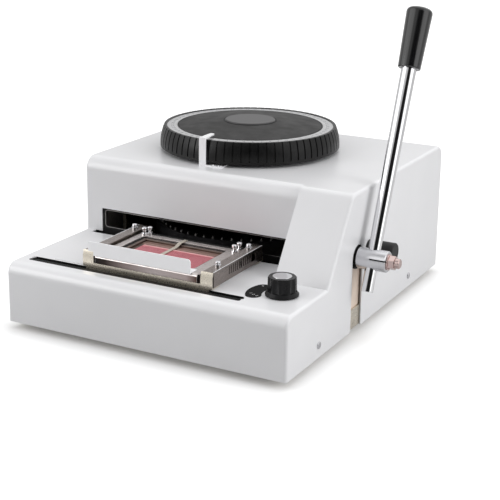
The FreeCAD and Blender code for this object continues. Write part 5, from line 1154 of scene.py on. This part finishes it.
def sky_part(tree, towards, azimuth, elevation, inner, outer):
    """How far a direction lies inside a round part of the sky: 1 within inner, 0 beyond outer."""
    centre = direction(math.radians(azimuth), math.radians(elevation))
    near = add_node(
        tree, "ShaderNodeVectorMath", {1: centre}, {0: towards}, operation="DOT_PRODUCT"
    )
    part = add_node(
        tree, "ShaderNodeMapRange",
        {"From Min": math.cos(math.radians(outer)), "From Max": math.cos(math.radians(inner))},
        {"Value": near.outputs["Value"]}, interpolation_type="SMOOTHSTEP",
    )
    return part.outputs["Result"]


def add_world():
    """A white studio with soft boxes and a dark room behind the camera; white to the eye."""
    studio = studio_values()
    world = bpy.data.worlds.new("Studio")
    bpy.context.scene.world = world
    world.use_nodes = True
    tree = world.node_tree
    tree.nodes.clear()
    towards = add_node(tree, "ShaderNodeTexCoord").outputs["Generated"]
    level = add_node(tree, "ShaderNodeValue").outputs[0]
    level.default_value = studio.wall_level
    for *place, gain in SOFT_BOXES:
        box = sky_part(tree, towards, *place)
        level = add_node(
            tree, "ShaderNodeMath", {1: gain}, {0: box, 2: level}, operation="MULTIPLY_ADD"
        ).outputs[0]
    dark = sky_part(tree, towards, *DARK_ROOM)
    lit = add_node(
        tree, "ShaderNodeMapRange", {"To Min": 1.0, "To Max": studio.dark_level}, {"Value": dark}
    )
    level = add_node(
        tree, "ShaderNodeMath", links={0: level, 1: lit.outputs["Result"]}, operation="MULTIPLY"
    ).outputs[0]
    sky = add_node(tree, "ShaderNodeBackground", {"Color": (1, 1, 1, 1)}, {"Strength": level})
    white = add_node(tree, "ShaderNodeBackground", {"Color": (1, 1, 1, 1), "Strength": 1.0})
    path = add_node(tree, "ShaderNodeLightPath")
    seen = add_node(
        tree, "ShaderNodeMath",
        links={0: path.outputs["Is Camera Ray"], 1: path.outputs["Is Transmission Ray"]},
        operation="MAXIMUM",
    )
    mixed = add_node(
        tree, "ShaderNodeMixShader",
        links={
            "Fac": seen.outputs[0], 1: sky.outputs["Background"], 2: white.outputs["Background"],
        },
    )
    add_node(tree, "ShaderNodeOutputWorld", links={"Surface": mixed.outputs["Shader"]})


def add_lamp(name, place, aim, power, mirrored=True):
    """A round soft lamp that shines from one point towards another, seen in mirrors or not."""
    lamp = bpy.data.lights.new(name, "AREA")
    lamp.shape = "DISK"
    lamp.size = LAMP_WIDTH
    lamp.energy = power
    piece = bpy.data.objects.new(name, lamp)
    piece.visible_glossy = mirrored
    bpy.context.scene.collection.objects.link(piece)
    turn = (Vector(aim) - Vector(place)).to_track_quat("-Z", "Y").to_matrix().to_4x4()
    piece.matrix_world = Matrix.Translation(place) @ turn


def add_camera():
    """The camera that was fitted to the photo."""
    studio = studio_values()
    camera = bpy.data.cameras.new("photo_view")
    camera.sensor_width = SENSOR_WIDTH
    camera.lens = studio.lens
    camera.shift_x = studio.shift_x
    camera.shift_y = studio.shift_y
    camera.clip_end = CAMERA_REACH
    piece = bpy.data.objects.new("photo_view", camera)
    bpy.context.scene.collection.objects.link(piece)
    back = direction(studio.azimuth, studio.elevation)
    level = Vector((math.cos(studio.azimuth), math.sin(studio.azimuth), 0))
    right = Matrix.Rotation(studio.roll, 3, back) @ level
    up = back.cross(right)
    axes = Matrix((right, up, back)).transposed().to_4x4()
    piece.matrix_world = Matrix.Translation(studio.camera_at) @ axes
    bpy.context.scene.camera = piece


class EMBOSSER_OT_studio(Operator):
    """Set up the floor, the lamps, the sky and the camera"""

    bl_idname = "embosser.studio"
    bl_label = "Studio"

    def execute(self, context):
        studio = studio_values()
        add_floor()
        add_world()
        add_lamp("left_lamp", *LEFT_LAMP, studio.lamp_power)
        add_lamp("right_lamp", *RIGHT_LAMP, studio.side_power, mirrored=False)
        add_camera()
        context.scene.view_settings.view_transform = "Standard"
        return {"FINISHED"}


STEPS = (
    EMBOSSER_OT_works,
    EMBOSSER_OT_casing,
    EMBOSSER_OT_dial,
    EMBOSSER_OT_lever,
    EMBOSSER_OT_knob,
    EMBOSSER_OT_carriage,
    EMBOSSER_OT_holder,
    EMBOSSER_OT_studio,
)


class EMBOSSER_PT_panel(Panel):
    """Lists the steps that dress the machine"""

    bl_idname = "EMBOSSER_PT_panel"
    bl_label = "Tag Embossing Machine"
    bl_space_type = "VIEW_3D"
    bl_region_type = "UI"
    bl_category = "Embosser"

    def draw(self, context):
        for step in STEPS:
            self.layout.operator(step.bl_idname)


GROUPS = (
    ("embosser_sizes", EmbosserSizes),
    ("embosser_colours", EmbosserColours),
    ("embosser_studio", EmbosserStudio),
)


def register():
    for name, group in GROUPS:
        bpy.utils.register_class(group)
        setattr(bpy.types.Scene, name, PointerProperty(type=group))
    for step in STEPS:
        bpy.utils.register_class(step)
    bpy.utils.register_class(EMBOSSER_PT_panel)


def unregister():
    bpy.utils.unregister_class(EMBOSSER_PT_panel)
    for step in reversed(STEPS):
        bpy.utils.unregister_class(step)
    for name, group in reversed(GROUPS):
        delattr(bpy.types.Scene, name)
        bpy.utils.unregister_class(group)


def main():
    register()
    for step in STEPS:
        family, action = step.bl_idname.split(".")
        getattr(getattr(bpy.ops, family), action)()


if __name__ == "__main__":
    main()
